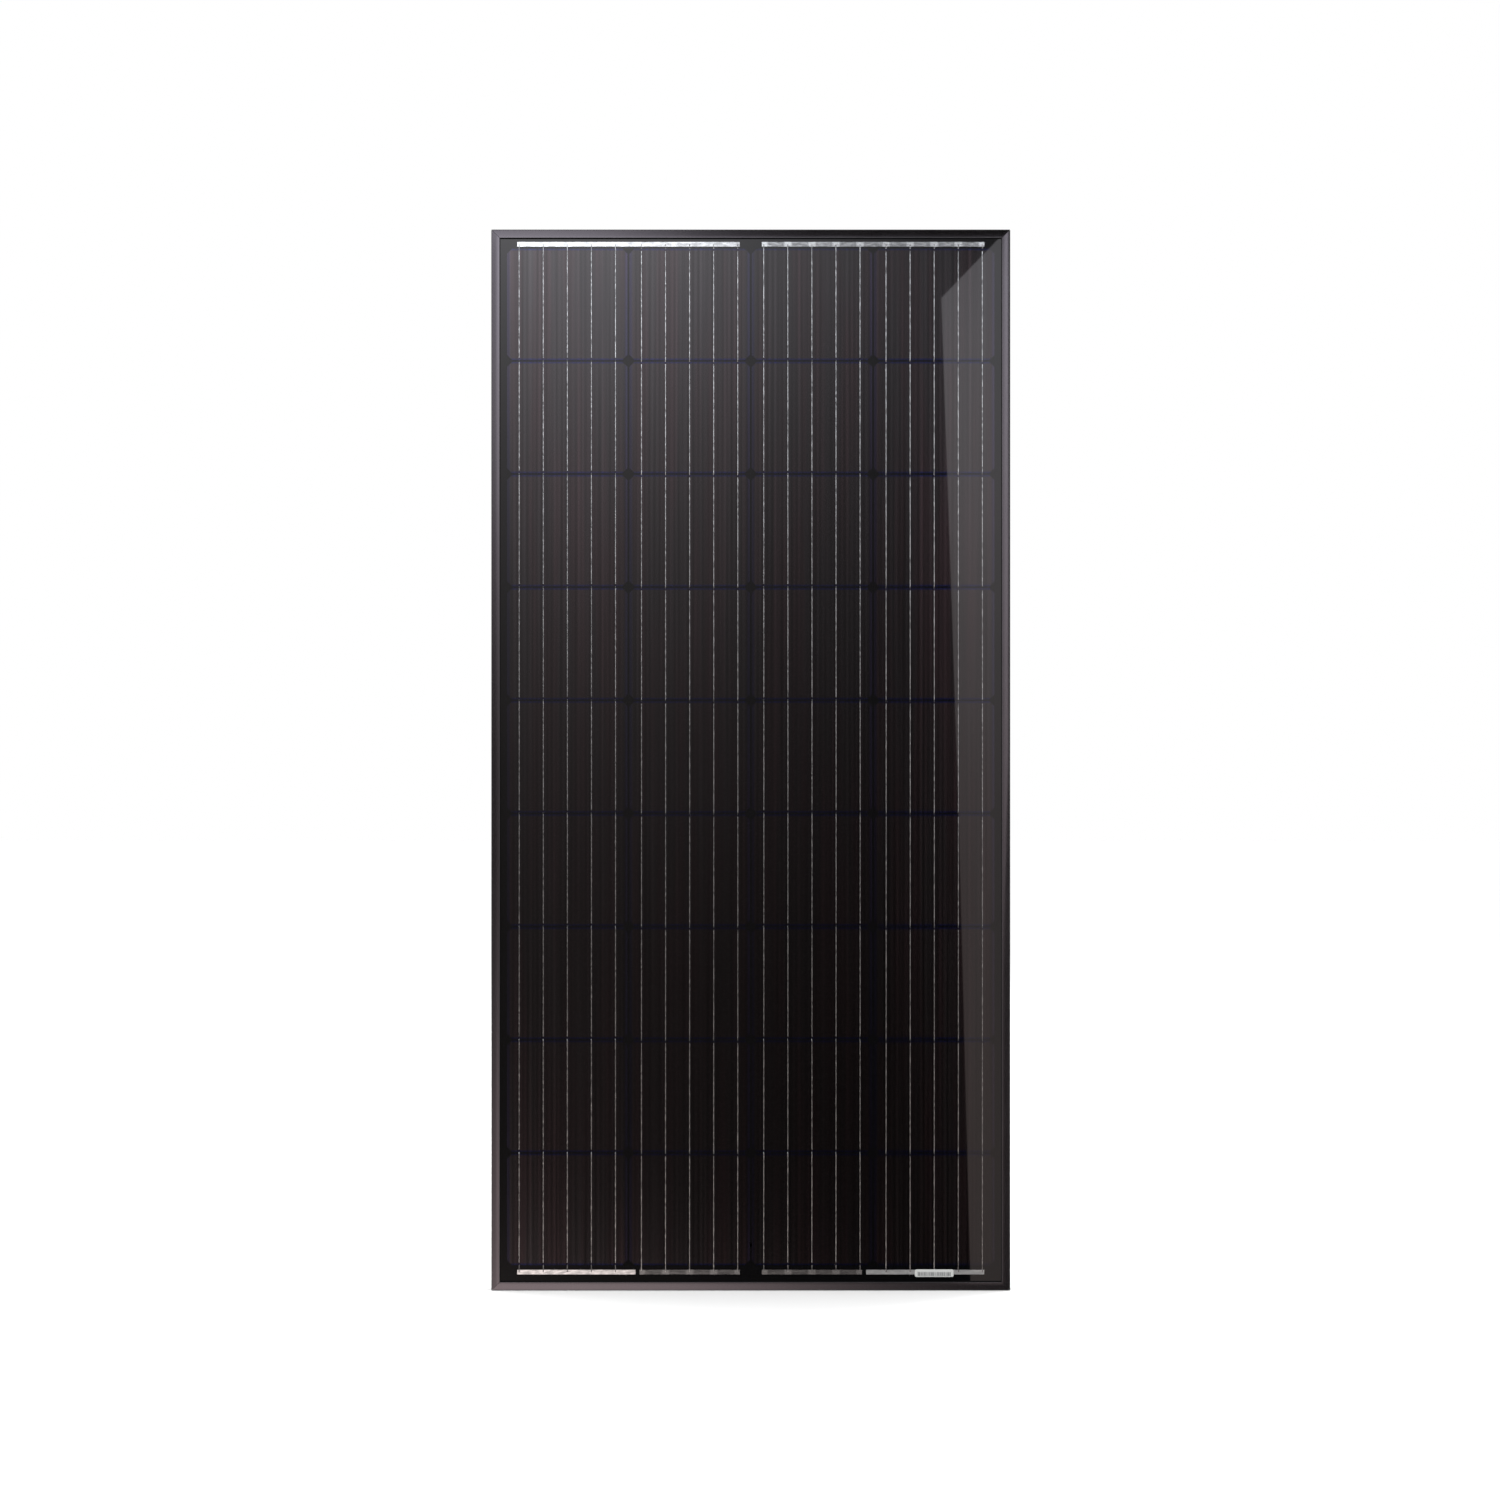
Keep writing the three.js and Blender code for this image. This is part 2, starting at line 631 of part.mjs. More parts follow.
// A six-sided cap nut whose outer end is rounded off to the hole for the cable.
function glandNut(name, x) {
  const start = boxTop + NUT_START;
  const end = start + NUT_LENGTH;
  const corner = NUT_FLAT / Math.cos(Math.PI / 6);
  const hexagon = new THREE.CylinderGeometry(corner, corner, NUT_LENGTH, 6);
  hexagon.rotateX(Math.PI / 2);
  hexagon.rotateZ(Math.PI / 6);
  hexagon.translate(x, glandDepth, (start + end) / 2);
  const profile = [[0, 0], [corner, 0]];
  for (let step = 0; step <= DOME_STEPS; step += 1) {
    const angle = (step / DOME_STEPS) * DOME_ANGLE;
    profile.push([
      corner - (NUT_TAPER * (1 - Math.cos(angle))) / (1 - Math.cos(DOME_ANGLE)),
      NUT_LENGTH - NUT_DOME + (NUT_DOME * Math.sin(angle)) / Math.sin(DOME_ANGLE),
    ]);
  }
  profile.push([0, NUT_LENGTH]);
  const dome = new THREE.LatheGeometry(profile.map(([r, h]) => new THREE.Vector2(r, h)), ROUND_STEPS);
  dome.rotateX(Math.PI / 2);
  dome.translate(x, glandDepth, start);
  const body = cut(solid(hexagon).intersect(solid(dome)), [
    rodAlongZ(SPIGOT_RADIUS + NUT_GAP, start - OVERCUT, end - NUT_CAP, x, glandDepth),
    rodAlongZ(NUT_HOLE, start, end + OVERCUT, x, glandDepth),
  ]);
  return named(name, geometryOf(body), blackPlastic());
}

function junctionBox() {
  const group = new THREE.Group();
  group.add(boxBase());
  group.add(lidGasket());
  group.add(lid());
  group.add(glandNut('gland_nut_left', -GLAND_OFFSET));
  group.add(glandNut('gland_nut_right', GLAND_OFFSET));
  return group;
}

// ---------------------------------------------------------------- assembly

const panel = new THREE.Group();
panel.add(frame());
panel.add(laminate());
panel.add(junctionBox());

export default panel;
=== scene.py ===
import math
import random

import bmesh
import bpy
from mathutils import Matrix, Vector


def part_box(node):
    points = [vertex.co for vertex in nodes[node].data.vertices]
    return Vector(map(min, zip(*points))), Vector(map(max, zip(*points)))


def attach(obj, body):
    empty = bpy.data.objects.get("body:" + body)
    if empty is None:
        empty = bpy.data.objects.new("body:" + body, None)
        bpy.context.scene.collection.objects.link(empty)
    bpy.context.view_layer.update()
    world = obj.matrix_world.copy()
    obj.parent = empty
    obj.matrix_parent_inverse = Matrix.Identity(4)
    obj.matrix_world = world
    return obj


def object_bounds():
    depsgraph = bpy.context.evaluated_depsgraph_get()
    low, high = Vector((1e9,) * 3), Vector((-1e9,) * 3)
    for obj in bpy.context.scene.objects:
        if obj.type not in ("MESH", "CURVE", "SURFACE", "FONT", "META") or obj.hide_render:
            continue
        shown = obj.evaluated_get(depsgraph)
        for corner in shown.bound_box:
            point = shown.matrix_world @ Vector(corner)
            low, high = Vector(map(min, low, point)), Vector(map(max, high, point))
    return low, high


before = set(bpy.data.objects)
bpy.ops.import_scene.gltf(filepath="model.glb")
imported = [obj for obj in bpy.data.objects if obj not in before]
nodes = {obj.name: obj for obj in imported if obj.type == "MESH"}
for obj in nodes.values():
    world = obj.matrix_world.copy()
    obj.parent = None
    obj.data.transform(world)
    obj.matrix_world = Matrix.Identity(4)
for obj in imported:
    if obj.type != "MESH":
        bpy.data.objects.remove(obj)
cad_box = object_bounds()

MM = 0.001

# ------------------------------------------------------------------ places read from the frame

STRINGS = 4
ROWS = 9
BUSBARS = 5


def cell_name(string, row):
    return f"solar_cell_string_{string + 1}_row_{row + 1}"


low, high = cad_box
cell_low, cell_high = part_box(cell_name(0, 0))
next_cell_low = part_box(cell_name(1, 1))[0]
backsheet_low, backsheet_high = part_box("backsheet")
nut_low, nut_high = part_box("gland_nut_left")
top_bus_low, top_bus_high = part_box("bus_ribbon_top_left")
bottom_bus_low, bottom_bus_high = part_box("bus_ribbon_bottom_4")

panel_width = high.x - low.x
panel_height = high.z - low.z
cell_width = cell_high.x - cell_low.x
cell_height = cell_high.z - cell_low.z
pitch_x = next_cell_low.x - cell_low.x
pitch_z = cell_low.z - next_cell_low.z
busbar_pitch = cell_width / BUSBARS
glass_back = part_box("front_glass")[1].y
film_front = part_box("encapsulant_front")[0].y
back_face = backsheet_high.y
lid_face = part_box("junction_box_lid")[1].y
gland_x = abs(nut_low.x + nut_high.x) / 2

BOX_TOP = -548 * MM  # upper wall of the junction box, without its glands
BOX_BOTTOM = -644 * MM
BOX_HALF_WIDTH = 56 * MM
BOX_CORNER = 6 * MM
BOX_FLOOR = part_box("junction_box_base")[0].y + 2 * MM
PLINTH_TOP = BOX_FLOOR + 4 * MM


# ------------------------------------------------------------------ node trees

class Shader:
    """A material and short calls that write its node tree."""

    def __init__(self, name):
        self.material = bpy.data.materials.new(name)
        self.material.use_nodes = True
        self.tree = self.material.node_tree
        self.tree.nodes.clear()
        self.output = self.tree.nodes.new("ShaderNodeOutputMaterial")
        self.place = self.node("TexCoord").outputs["Object"]

    def feed(self, socket, value):
        if isinstance(value, bpy.types.NodeSocket):
            self.tree.links.new(value, socket)
        else:
            socket.default_value = value

    def node(self, kind, inputs=None, **settings):
        made = self.tree.nodes.new("ShaderNode" + kind)
        for key, value in settings.items():
            setattr(made, key, value)
        for key, value in (inputs or {}).items():
            self.feed(made.inputs[key], value)
        return made

    def math(self, operation, a, b=0.0, c=0.0):
        made = self.node("Math", {0: a, 1: b, 2: c}, operation=operation)
        return made.outputs[0]

    def product(self, first, *others):
        for other in others:
            first = self.math("MULTIPLY", first, other)
        return first

    def total(self, first, *others):
        for other in others:
            first = self.math("ADD", first, other)
        return first

    def inset(self, half, value):
        """How far inside its edges a place is, on a thing that reaches a half each way."""
        return self.math("SUBTRACT", half, self.math("ABSOLUTE", value))

    def mix(self, factor, a, b):
        made = self.node("Mix", data_type="RGBA")
        self.feed(made.inputs[0], factor)
        self.feed(made.inputs[6], a)
        self.feed(made.inputs[7], b)
        return made.outputs[2]

    def axes(self):
        return self.node("SeparateXYZ", {0: self.place}).outputs

    def faces_front(self):
        """1 on faces that look to the front of the panel, 0 on the rest."""
        normal = self.node("NewGeometry").outputs["True Normal"]
        return self.math("LESS_THAN", self.node("SeparateXYZ", {0: normal}).outputs[1], -0.3)

    def ramp(self, value, start, end, low_value=0.0, high_value=1.0):
        """Runs evenly from low_value at the start to high_value at the end, and is level beyond them."""
        made = self.node("MapRange", {
            "Value": value, "From Min": start, "From Max": end,
            "To Min": low_value, "To Max": high_value,
        })
        return made.outputs["Result"]

    def noise(self, scale, detail=2.0, stretch=(1, 1, 1)):
        """Noise with so many grains in a metre, times the stretch along each axis."""
        placed = self.node("Mapping", {"Vector": self.place, "Scale": stretch})
        made = self.node("TexNoise", {
            "Vector": placed.outputs[0], "Scale": scale, "Detail": detail,
        })
        return made.outputs["Fac"]

    def bump(self, height, distance, strength=1.0):
        """A normal for a surface whose height is given in units of a distance in metres."""
        made = self.node("Bump", {"Height": height, "Distance": distance, "Strength": strength})
        return made.outputs["Normal"]

    def principled(self, color, roughness, under_glass=False, **more):
        """A surface, with the mirror sheen of the glass as its coat if it lies under the glass."""
        inputs = {"Base Color": color, "Roughness": roughness}
        if under_glass:
            inputs.update({"Coat Weight": self.faces_front(), "Coat Roughness": 0.01, "Coat IOR": 1.5})
        inputs.update({key.replace("_", " "): value for key, value in more.items()})
        made = self.node("BsdfPrincipled", inputs)
        self.feed(self.output.inputs["Surface"], made.outputs[0])
        return self.material


def grey(value, red=1.0, green=1.0, blue=1.0):
    """A grey, or a tint of it if the channels are scaled."""
    return (value * red, value * green, value * blue, 1.0)


# ------------------------------------------------------------------ materials

LIP_WIDTH = 11 * MM
LIP_CROWN = 0.3 * MM  # how far the lip falls back at its outer edge
PINSTRIPE_PITCH = 6.3 * MM
FINGER_PITCH = 1.46 * MM
GLOSS_TONE = 0.60  # of the silicon's own mirror light, against that of bare glass
SIDE_BAND = 4.0 * MM  # how far the bluer edge of a cell reaches in from its sides
END_BAND = 2.2 * MM  # and from its ends


def anodised(name, along):
    """Black anodised extrusion: a lip crowned a little towards its outer edge, fine die lines along the
    rail, and a slightly cloudy satin film."""
    shader = Shader(name)
    stretch = {"x": (6, 900, 900), "z": (900, 900, 6)}[along]
    lines = shader.noise(1.0, 3.0, stretch)
    cloud = shader.noise(22.0, 3.0)
    color = shader.mix(cloud, grey(0.0035, 1.05, 0.95, 1.0), grey(0.0060, 1.05, 0.95, 1.02))
    rough = shader.ramp(shader.total(lines, cloud), 0.6, 1.4, 0.07, 0.10)
    x, _, z = shader.axes()
    across, half = {"x": (z, panel_height / 2), "z": (x, panel_width / 2)}[along]
    fall = shader.ramp(shader.inset(half, across), 0.0, LIP_WIDTH, 1.0, 0.0)
    crown = shader.product(fall, fall, -LIP_CROWN)
    height = shader.math("MULTIPLY_ADD", lines, 0.002 * MM, crown)
    return shader.principled(
        color, rough, IOR=2.0, Specular_Tint=grey(1.0, 1.0, 0.98, 1.05), Normal=shader.bump(height, 1.0),
    )


def milled_aluminium():
    """Bare aluminium of the corner keys, with the lines of the milling cutter."""
    shader = Shader("milled_aluminium")
    lines = shader.noise(1.0, 2.0, (300, 2000, 300))
    color = shader.mix(lines, grey(0.42), grey(0.58))
    return shader.principled(color, shader.ramp(lines, 0, 1, 0.3, 0.5), Metallic=0.9)


def clear_layer(name, scale, thin, thick):
    """A clear sheet whose tint varies a little. What lies under the glass carries its mirror sheen as a
    coat, because glass, film and cells are in optical contact."""
    shader = Shader(name)
    tint = shader.mix(shader.noise(scale, 2.0), thick, thin)
    clear = shader.node("BsdfTransparent", {"Color": tint})
    shader.feed(shader.output.inputs["Surface"], clear.outputs[0])
    return shader.material


def from_cell_centre(shader):
    """Distance across and up from the middle of whichever cell a point is in."""
    x, _, z = shader.axes()
    left = cell_low.x - (pitch_x - cell_width) / 2
    bottom = cell_low.z - (pitch_z - cell_height) / 2
    across = shader.math("FLOORED_MODULO", shader.math("SUBTRACT", x, left), pitch_x)
    up = shader.math("FLOORED_MODULO", shader.math("SUBTRACT", z, bottom), pitch_z)
    return shader.math("SUBTRACT", across, pitch_x / 2), shader.math("SUBTRACT", up, pitch_z / 2)


def from_busbar(shader, across):
    """Distance from the nearest of a cell's busbars."""
    steps = shader.math("DIVIDE", shader.total(across, busbar_pitch / 2), busbar_pitch)
    off_middle = shader.math("SUBTRACT", shader.math("FRACT", steps), 0.5)
    return shader.product(shader.math("ABSOLUTE", off_middle), busbar_pitch)


def edge_band(shader, distance, half_size, width):
    """1 at the edge of a cell, falling to 0 a band's width inside it."""
    return shader.ramp(shader.inset(half_size, distance), width * 0.55, width * 1.15, 1.0, 0.0)


def silicon():
    """Black silicon with printed fingers, streaks from its etching and bluer edges. Its own gloss is
    broad and weak, so what varies over a cell is the colour of that gloss."""
    shader = Shader("black_silicon")
    across, up = from_cell_centre(shader)
    side_band = edge_band(shader, across, cell_width / 2, SIDE_BAND)
    end_band = edge_band(shader, up, cell_height / 2, END_BAND)
    edge = shader.math("MAXIMUM", shader.product(side_band, 0.45), end_band)

    rosy = shader.ramp(shader.noise(1.0, 2.0, (52, 1, 2.5)), 0.42, 0.62)
    gloss = shader.mix(rosy, grey(GLOSS_TONE, 1.04, 0.94, 1.02), grey(GLOSS_TONE, 1.28, 0.88, 0.99))
    gloss = shader.mix(edge, gloss, grey(GLOSS_TONE, 0.36, 0.44, 2.1))
    base = shader.mix(edge, grey(0.0006, 1.2, 1.0, 1.0), grey(0.0006, 0.9, 1.1, 3.2))

    etching = shader.ramp(shader.noise(1.0, 2.0, (260, 1, 2)), 0.3, 0.7, 0.6, 1.4)
    pinstripe = shader.math("SINE", shader.product(across, 2 * math.pi / PINSTRIPE_PITCH))
    streaks = shader.total(etching, shader.product(pinstripe, 0.22))
    middle = shader.ramp(from_busbar(shader, across), busbar_pitch * 0.41, busbar_pitch * 0.48, 1.0, 1.3)
    finger_step = shader.math("FRACT", shader.math("DIVIDE", up, FINGER_PITCH))
    off_finger = shader.math("ABSOLUTE", shader.math("SUBTRACT", finger_step, 0.5))
    finger = shader.ramp(off_finger, 0.03, 0.09, 1.8, 1.0)
    level = shader.product(streaks, middle, finger, 0.42)
    return shader.principled(base, 0.13, under_glass=True, Specular_IOR_Level=level, Specular_Tint=gloss)


def tinned(
    name, gloss, beads, tone=0.75, dull=0.75, grain=105.0, waves=0.03 * MM, lean=0.0, joints=False,
    under_glass=False,
):
    """Solder-coated copper strip, wavy along its length as soldering leaves it, with beads of a lighter
    tone. A strip with joints is bright where ribbons are soldered to it and duller between them. One
    that leans has its upper edge a little further forward, so that it mirrors the ground."""
    shader = Shader(name)
    stretch = {"z": (3, 3, 1), "x": (1, 3, 3)}[beads]
    coarse = shader.noise(grain, 2.0, stretch)
    fine = shader.noise(900.0, 2.0)
    light = shader.ramp(coarse, 0.38, 0.62)
    if joints:
        across, _ = from_cell_centre(shader)
        joint = shader.ramp(from_busbar(shader, across), 3.5 * MM, 6.5 * MM, 1.0, 0.0)
        light = shader.math("MAXIMUM", joint, shader.product(light, 0.4))
    color = shader.mix(light, grey(tone * dull, 0.95, 1.0, 1.01), grey(tone, 0.95, 1.0, 1.01))
    patchy = shader.ramp(coarse, 0.3, 0.7, gloss + 0.08, gloss)
    rough = shader.total(patchy, shader.product(fine, 0.05))
    height = shader.product(coarse, waves)
    if lean:
        height = shader.math("MULTIPLY_ADD", shader.axes()[2], lean, height)
    return shader.principled(
        color, rough, under_glass=under_glass, Metallic=1.0, Normal=shader.bump(height, 1.0),
    )


def backsheet_film():
    """Black film. The edges of the cells and the ribbons show through it as faint relief."""
    shader = Shader("backsheet_film")
    across, up = from_cell_centre(shader)
    inside = shader.math("MINIMUM", shader.inset(cell_width / 2, across), shader.inset(cell_height / 2, up))
    cell_relief = shader.ramp(inside, -1.2 * MM, 0.8 * MM)
    ribbon_relief = shader.ramp(from_busbar(shader, across), 0.6 * MM, 2.2 * MM, 1.0, 0.0)
    sag = shader.noise(26.0, 3.0)
    weave = shader.noise(1500.0, 2.0)
    height = shader.total(
        cell_relief, shader.product(ribbon_relief, 0.7), shader.product(sag, 0.8),
        shader.product(weave, 0.08),
    )
    color = shader.mix(shader.faces_front(), grey(0.012, 1.0, 1.0, 1.08), grey(0.0010, 1.0, 1.0, 1.5))
    rough = shader.ramp(shader.noise(40.0, 3.0), 0.3, 0.7, 0.40, 0.50)
    level = shader.math("SUBTRACT", 0.32, shader.product(shader.faces_front(), 0.29))
    normal = shader.bump(height, 0.10 * MM, 0.8)
    return shader.principled(color, rough, under_glass=True, Specular_IOR_Level=level, Normal=normal)


def moulded_plastic():
    """Black moulded plastic with a fine spark-eroded texture."""
    shader = Shader("moulded_plastic")
    grain = shader.noise(1700.0, 3.0)
    cloud = shader.noise(30.0, 2.0)
    color = shader.mix(cloud, grey(0.012, 1.0, 1.0, 1.03), grey(0.018, 1.0, 1.0, 1.03))
    rough = shader.ramp(grain, 0.3, 0.7, 0.42, 0.58)
    return shader.principled(color, rough, Normal=shader.bump(grain, 0.05 * MM, 0.7))


def black_rubber():
    """Dull black rubber with a fine grain."""
    shader = Shader("black_rubber")
    grain = shader.noise(1200.0, 3.0)
    color = shader.mix(grain, grey(0.010), grey(0.018))
    return shader.principled(color, 0.75, Normal=shader.bump(grain, 0.05 * MM, 0.5))


def sealant():
    """Cured black silicone: smooth, slightly wavy from the nozzle."""
    shader = Shader("sealant")
    wave = shader.noise(160.0, 2.0)
    color = shader.mix(wave, grey(0.012, 1, 1, 1.05), grey(0.022, 1, 1, 1.05))
    return shader.principled(color, 0.34, Normal=shader.bump(wave, 0.3 * MM, 0.6))


def label_film(name, tone, under_glass=False):
    """Printed sticker film with a faint fibre mottle."""
    shader = Shader(name)
    mottle = shader.noise(420.0, 3.0)
    color = shader.mix(mottle, grey(tone * 0.93, 1.0, 0.985, 0.985), grey(tone, 1.0, 0.99, 1.0))
    return shader.principled(color, shader.ramp(mottle, 0.3, 0.7, 0.35, 0.45), under_glass=under_glass)


def print_ink():
    """Dark ink, a little uneven from dot to dot."""
    shader = Shader("print_ink")
    dots = shader.noise(2500.0, 2.0)
    return shader.principled(shader.mix(dots, grey(0.07, 1, 1, 1.1), grey(0.11, 1, 1, 1.1)), 0.5)


def brass():
    """Brass with drawing lines."""
    shader = Shader("tinned_brass")
    lines = shader.noise(1.0, 2.0, (1500, 1500, 200))
    color = shader.mix(lines, (0.52, 0.40, 0.20, 1), (0.66, 0.53, 0.30, 1))
    return shader.principled(color, shader.ramp(lines, 0, 1, 0.25, 0.4), Metallic=1.0)


DIODE_BAND = (13.4 * MM, 14.9 * MM)  # from the middle of the panel, so the outer end of each diode


def diode_epoxy():
    """Moulded diode body with its silver cathode band."""
    shader = Shader("diode_epoxy")
    x, _, _ = shader.axes()
    side = shader.math("ABSOLUTE", x)
    past_start = shader.math("GREATER_THAN", side, DIODE_BAND[0])
    before_end = shader.math("LESS_THAN", side, DIODE_BAND[1])
    grain = shader.noise(1500.0, 2.0)
    body = shader.mix(grain, grey(0.012), grey(0.02))
    color = shader.mix(shader.product(past_start, before_end), body, grey(0.55))
    return shader.principled(color, shader.ramp(grain, 0.3, 0.7, 0.35, 0.5))


def paint(material, *names):
    for name in names:
        mesh = nodes[name].data
        mesh.materials.clear()
        mesh.materials.append(material)


# ------------------------------------------------------------------ CAD nodes: edges and materials

def soften(name, width, segments=2):
    """Rounds a CAD node's sharp edges, with modifiers only."""
    node = nodes[name]
    weld = node.modifiers.new("weld", "WELD")
    weld.merge_threshold = 0.004 * MM
    flat = node.modifiers.new("flat", "DECIMATE")
    flat.decimate_type = "DISSOLVE"
    flat.angle_limit = math.radians(1.5)
    round_edges = node.modifiers.new("round_edges", "BEVEL")
    round_edges.width = width
    round_edges.segments = segments
    round_edges.limit_method = "ANGLE"
    round_edges.angle_limit = math.radians(28)
    even = node.modifiers.new("even_normals", "WEIGHTED_NORMAL")
    even.weight = 100
    for face in node.data.polygons:
        face.use_smooth = True


def paint_bus_ribbons():
    """The six bus ribbons differ in gloss and lie of their faces, as hand-soldered ones do."""
    bright = tinned("bright_bus_tin", 0.06, "x", tone=0.90, under_glass=True)
    jointed = tinned("jointed_bus_tin", 0.06, "x", tone=0.95, dull=0.42, joints=True, under_glass=True)
    satin = tinned("satin_bus_tin", 0.36, "x", tone=1.0, dull=0.85, waves=0.05 * MM, under_glass=True)
    leaning = tinned("leaning_bus_tin", 0.12, "x", tone=0.88, dull=0.85, lean=0.035, under_glass=True)
    dull = tinned("dull_bus_tin", 0.16, "x", tone=0.42, dull=0.42, joints=True, under_glass=True)
    paint(bright, "bus_ribbon_top_left")
    paint(jointed, "bus_ribbon_top_right")
    paint(leaning, "bus_ribbon_bottom_1")
    paint(satin, "bus_ribbon_bottom_4")
    paint(dull, "bus_ribbon_bottom_2", "bus_ribbon_bottom_3")


def dress_cad_nodes():
    """Gives the CAD nodes their materials and round edges. Returns the plastic of the junction box."""
    long_rail = anodised("anodised_long_rail", "z")
    short_rail = anodised("anodised_short_rail", "x")
    paint(long_rail, "frame_rail_left", "frame_rail_right")
    paint(short_rail, "frame_rail_top", "frame_rail_bottom")
    for side in ("left", "right", "top", "bottom"):
        soften(f"frame_rail_{side}", 0.3 * MM)
    keys = [f"corner_key_{end}_{side}" for end in ("top", "bottom") for side in ("left", "right")]
    paint(milled_aluminium(), *keys)
    glass = clear_layer("solar_glass", 4.0, grey(0.99, 0.995, 1.0, 0.995), grey(0.97, 0.99, 1.0, 0.99))
    film = clear_layer("clear_film", 9.0, grey(0.998), grey(0.985, 0.995, 1.0, 1.0))
    paint(glass, "front_glass")
    paint(film, "encapsulant_front", "encapsulant_rear")
    paint(backsheet_film(), "backsheet")
    paint(silicon(), *[cell_name(string, row) for string in range(STRINGS) for row in range(ROWS)])
    paint_bus_ribbons()
    paint(black_rubber(), "edge_seal", "lid_gasket")
    plastic = moulded_plastic()
    box_nodes = ["junction_box_base", "junction_box_lid", "gland_nut_left", "gland_nut_right"]
    paint(plastic, *box_nodes)
    for name in box_nodes:
        soften(name, 0.45 * MM, 3)
    return plastic


# ------------------------------------------------------------------ mesh building

def add_object(name, mesh_data, material):
    """Links a finished bmesh as an object, and frees the bmesh."""
    mesh = bpy.data.meshes.new(name)
    mesh_data.to_mesh(mesh)
    mesh_data.free()
    mesh.materials.append(material)
    made = bpy.data.objects.new(name, mesh)
    bpy.context.scene.collection.objects.link(made)
    return made


def piece(name, mesh_data, material, body="panel"):
    """Links a finished bmesh as a named piece that rides on a body."""
    bmesh.ops.recalc_face_normals(mesh_data, faces=mesh_data.faces)
    made = add_object(name, mesh_data, material)
    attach(made, body)
    return made


def add_loft(mesh_data, rings, closed=False):
    """Joins rings of points, each with as many corners as the next, and caps the ends unless closed."""
    made = [[mesh_data.verts.new(point) for point in ring] for ring in rings]
    pairs = list(zip(made, made[1:]))
    if closed:
        pairs.append((made[-1], made[0]))
    count = len(made[0])
    for first, second in pairs:
        for corner in range(count):
            after = (corner + 1) % count
            mesh_data.faces.new((first[corner], first[after], second[after], second[corner]))
    if not closed:
        mesh_data.faces.new(made[0][::-1])
        mesh_data.faces.new(made[-1])


def add_block(mesh_data, low_corner, high_corner, bevel=0.0):
    """A box, with its edges rounded if a bevel is given."""
    block = bmesh.new()
    size = Vector(high_corner) - Vector(low_corner)
    bmesh.ops.create_cube(block, size=1.0)
    for vert in block.verts:
        vert.co = Vector(low_corner) + Vector((
            (vert.co.x + 0.5) * size.x, (vert.co.y + 0.5) * size.y, (vert.co.z + 0.5) * size.z,
        ))
    if bevel:
        edges = list(block.edges)
        bmesh.ops.bevel(block, geom=edges, offset=bevel, segments=2, affect="EDGES", profile=0.5)
    merge(mesh_data, block)


def merge(mesh_data, other):
    """Adds one bmesh to another and frees it."""
    held = bpy.data.meshes.new("held")
    other.to_mesh(held)
    other.free()
    mesh_data.from_mesh(held)
    bpy.data.meshes.remove(held)


def rounded_outline(half_width, half_height, radius, steps=6):
    """Points round a rectangle with round corners, anticlockwise."""
    points = []
    for quarter, (side, end) in enumerate(((1, 1), (-1, 1), (-1, -1), (1, -1))):
        for step in range(steps + 1):
            angle = (quarter + step / steps) * math.pi / 2
            points.append((
                side * (half_width - radius) + radius * math.cos(angle),
                end * (half_height - radius) + radius * math.sin(angle),
            ))
    return points


def add_sticker(mesh_data, centre_x, centre_z, half_width, half_height, radius, front, rear):
    """A thin plate with round corners and softened rims, its faces across Y."""
    outline = rounded_outline(half_width, half_height, radius)
    rim = min(0.25 * MM, radius / 2)

    def ring(y, shrink):
        factor_x = 1 - shrink / half_width
        factor_z = 1 - shrink / half_height
        return [Vector((centre_x + x * factor_x, y, centre_z + z * factor_z)) for x, z in outline]

    depth = rear - front
    add_loft(mesh_data, [
        ring(front, rim), ring(front + depth * 0.4, 0), ring(rear - depth * 0.4, 0), ring(rear, rim),
    ])


LATHE_AXES = {"x": (0, 1, 2), "y": (1, 0, 2)}  # the axis to turn about, and the two across it


def add_lathe(mesh_data, profile, centre, axis, steps=28):
    """Turns a profile of (radius, distance) about an axis through centre. The ends are capped."""
    along, first, second = LATHE_AXES[axis]
    rings = []
    for radius, distance in profile:
        ring = []
        for step in range(steps):
            angle = 2 * math.pi * step / steps
            point = Vector(centre)
            point[along] += distance
            point[first] += radius * math.cos(angle)
            point[second] += radius * math.sin(angle)
            ring.append(point)
        rings.append(ring)
    add_loft(mesh_data, rings)


def smooth(made, angle=35):
    for face in made.data.polygons:
        face.use_smooth = True
    normals = made.modifiers.new("even_normals", "WEIGHTED_NORMAL")
    normals.keep_sharp = True
    made.data.update()
    sharp = bmesh.new()
    sharp.from_mesh(made.data)
    for edge in sharp.edges:
        if len(edge.link_faces) == 2 and edge.calc_face_angle() > math.radians(angle):
            edge.smooth = False
    sharp.to_mesh(made.data)
    sharp.free()


# ------------------------------------------------------------------ tabbing ribbons

RIBBON_WIDTH = 1.15 * MM
RIBBON_THICKNESS = 0.18 * MM
RIBBON_INSET = 3.0 * MM  # from a ribbon's end to the edge of its cell
RIBBON_GAP = 0.01 * MM
RIBBON_TURN = 0.35 * MM  # past a cell's edge, where its ribbon starts to cross to the next cell
RIBBON_FRONT = (  # its front face: share of the half width, and drop as a share of the thickness
    (-1.0, 0.32), (-0.85, 0.17), (-0.7, 0.09), (-0.5, 0.03), (-0.3, 0.0),
    (0.3, 0.0), (0.5, 0.03), (0.7, 0.09), (0.85, 0.17), (1.0, 0.32),
)
BEAD_LENGTH = 4.5 * MM
BEAD_SWELL = 0.14 * MM


def string_x(string):
    return (cell_low.x + cell_high.x) / 2 + string * pitch_x


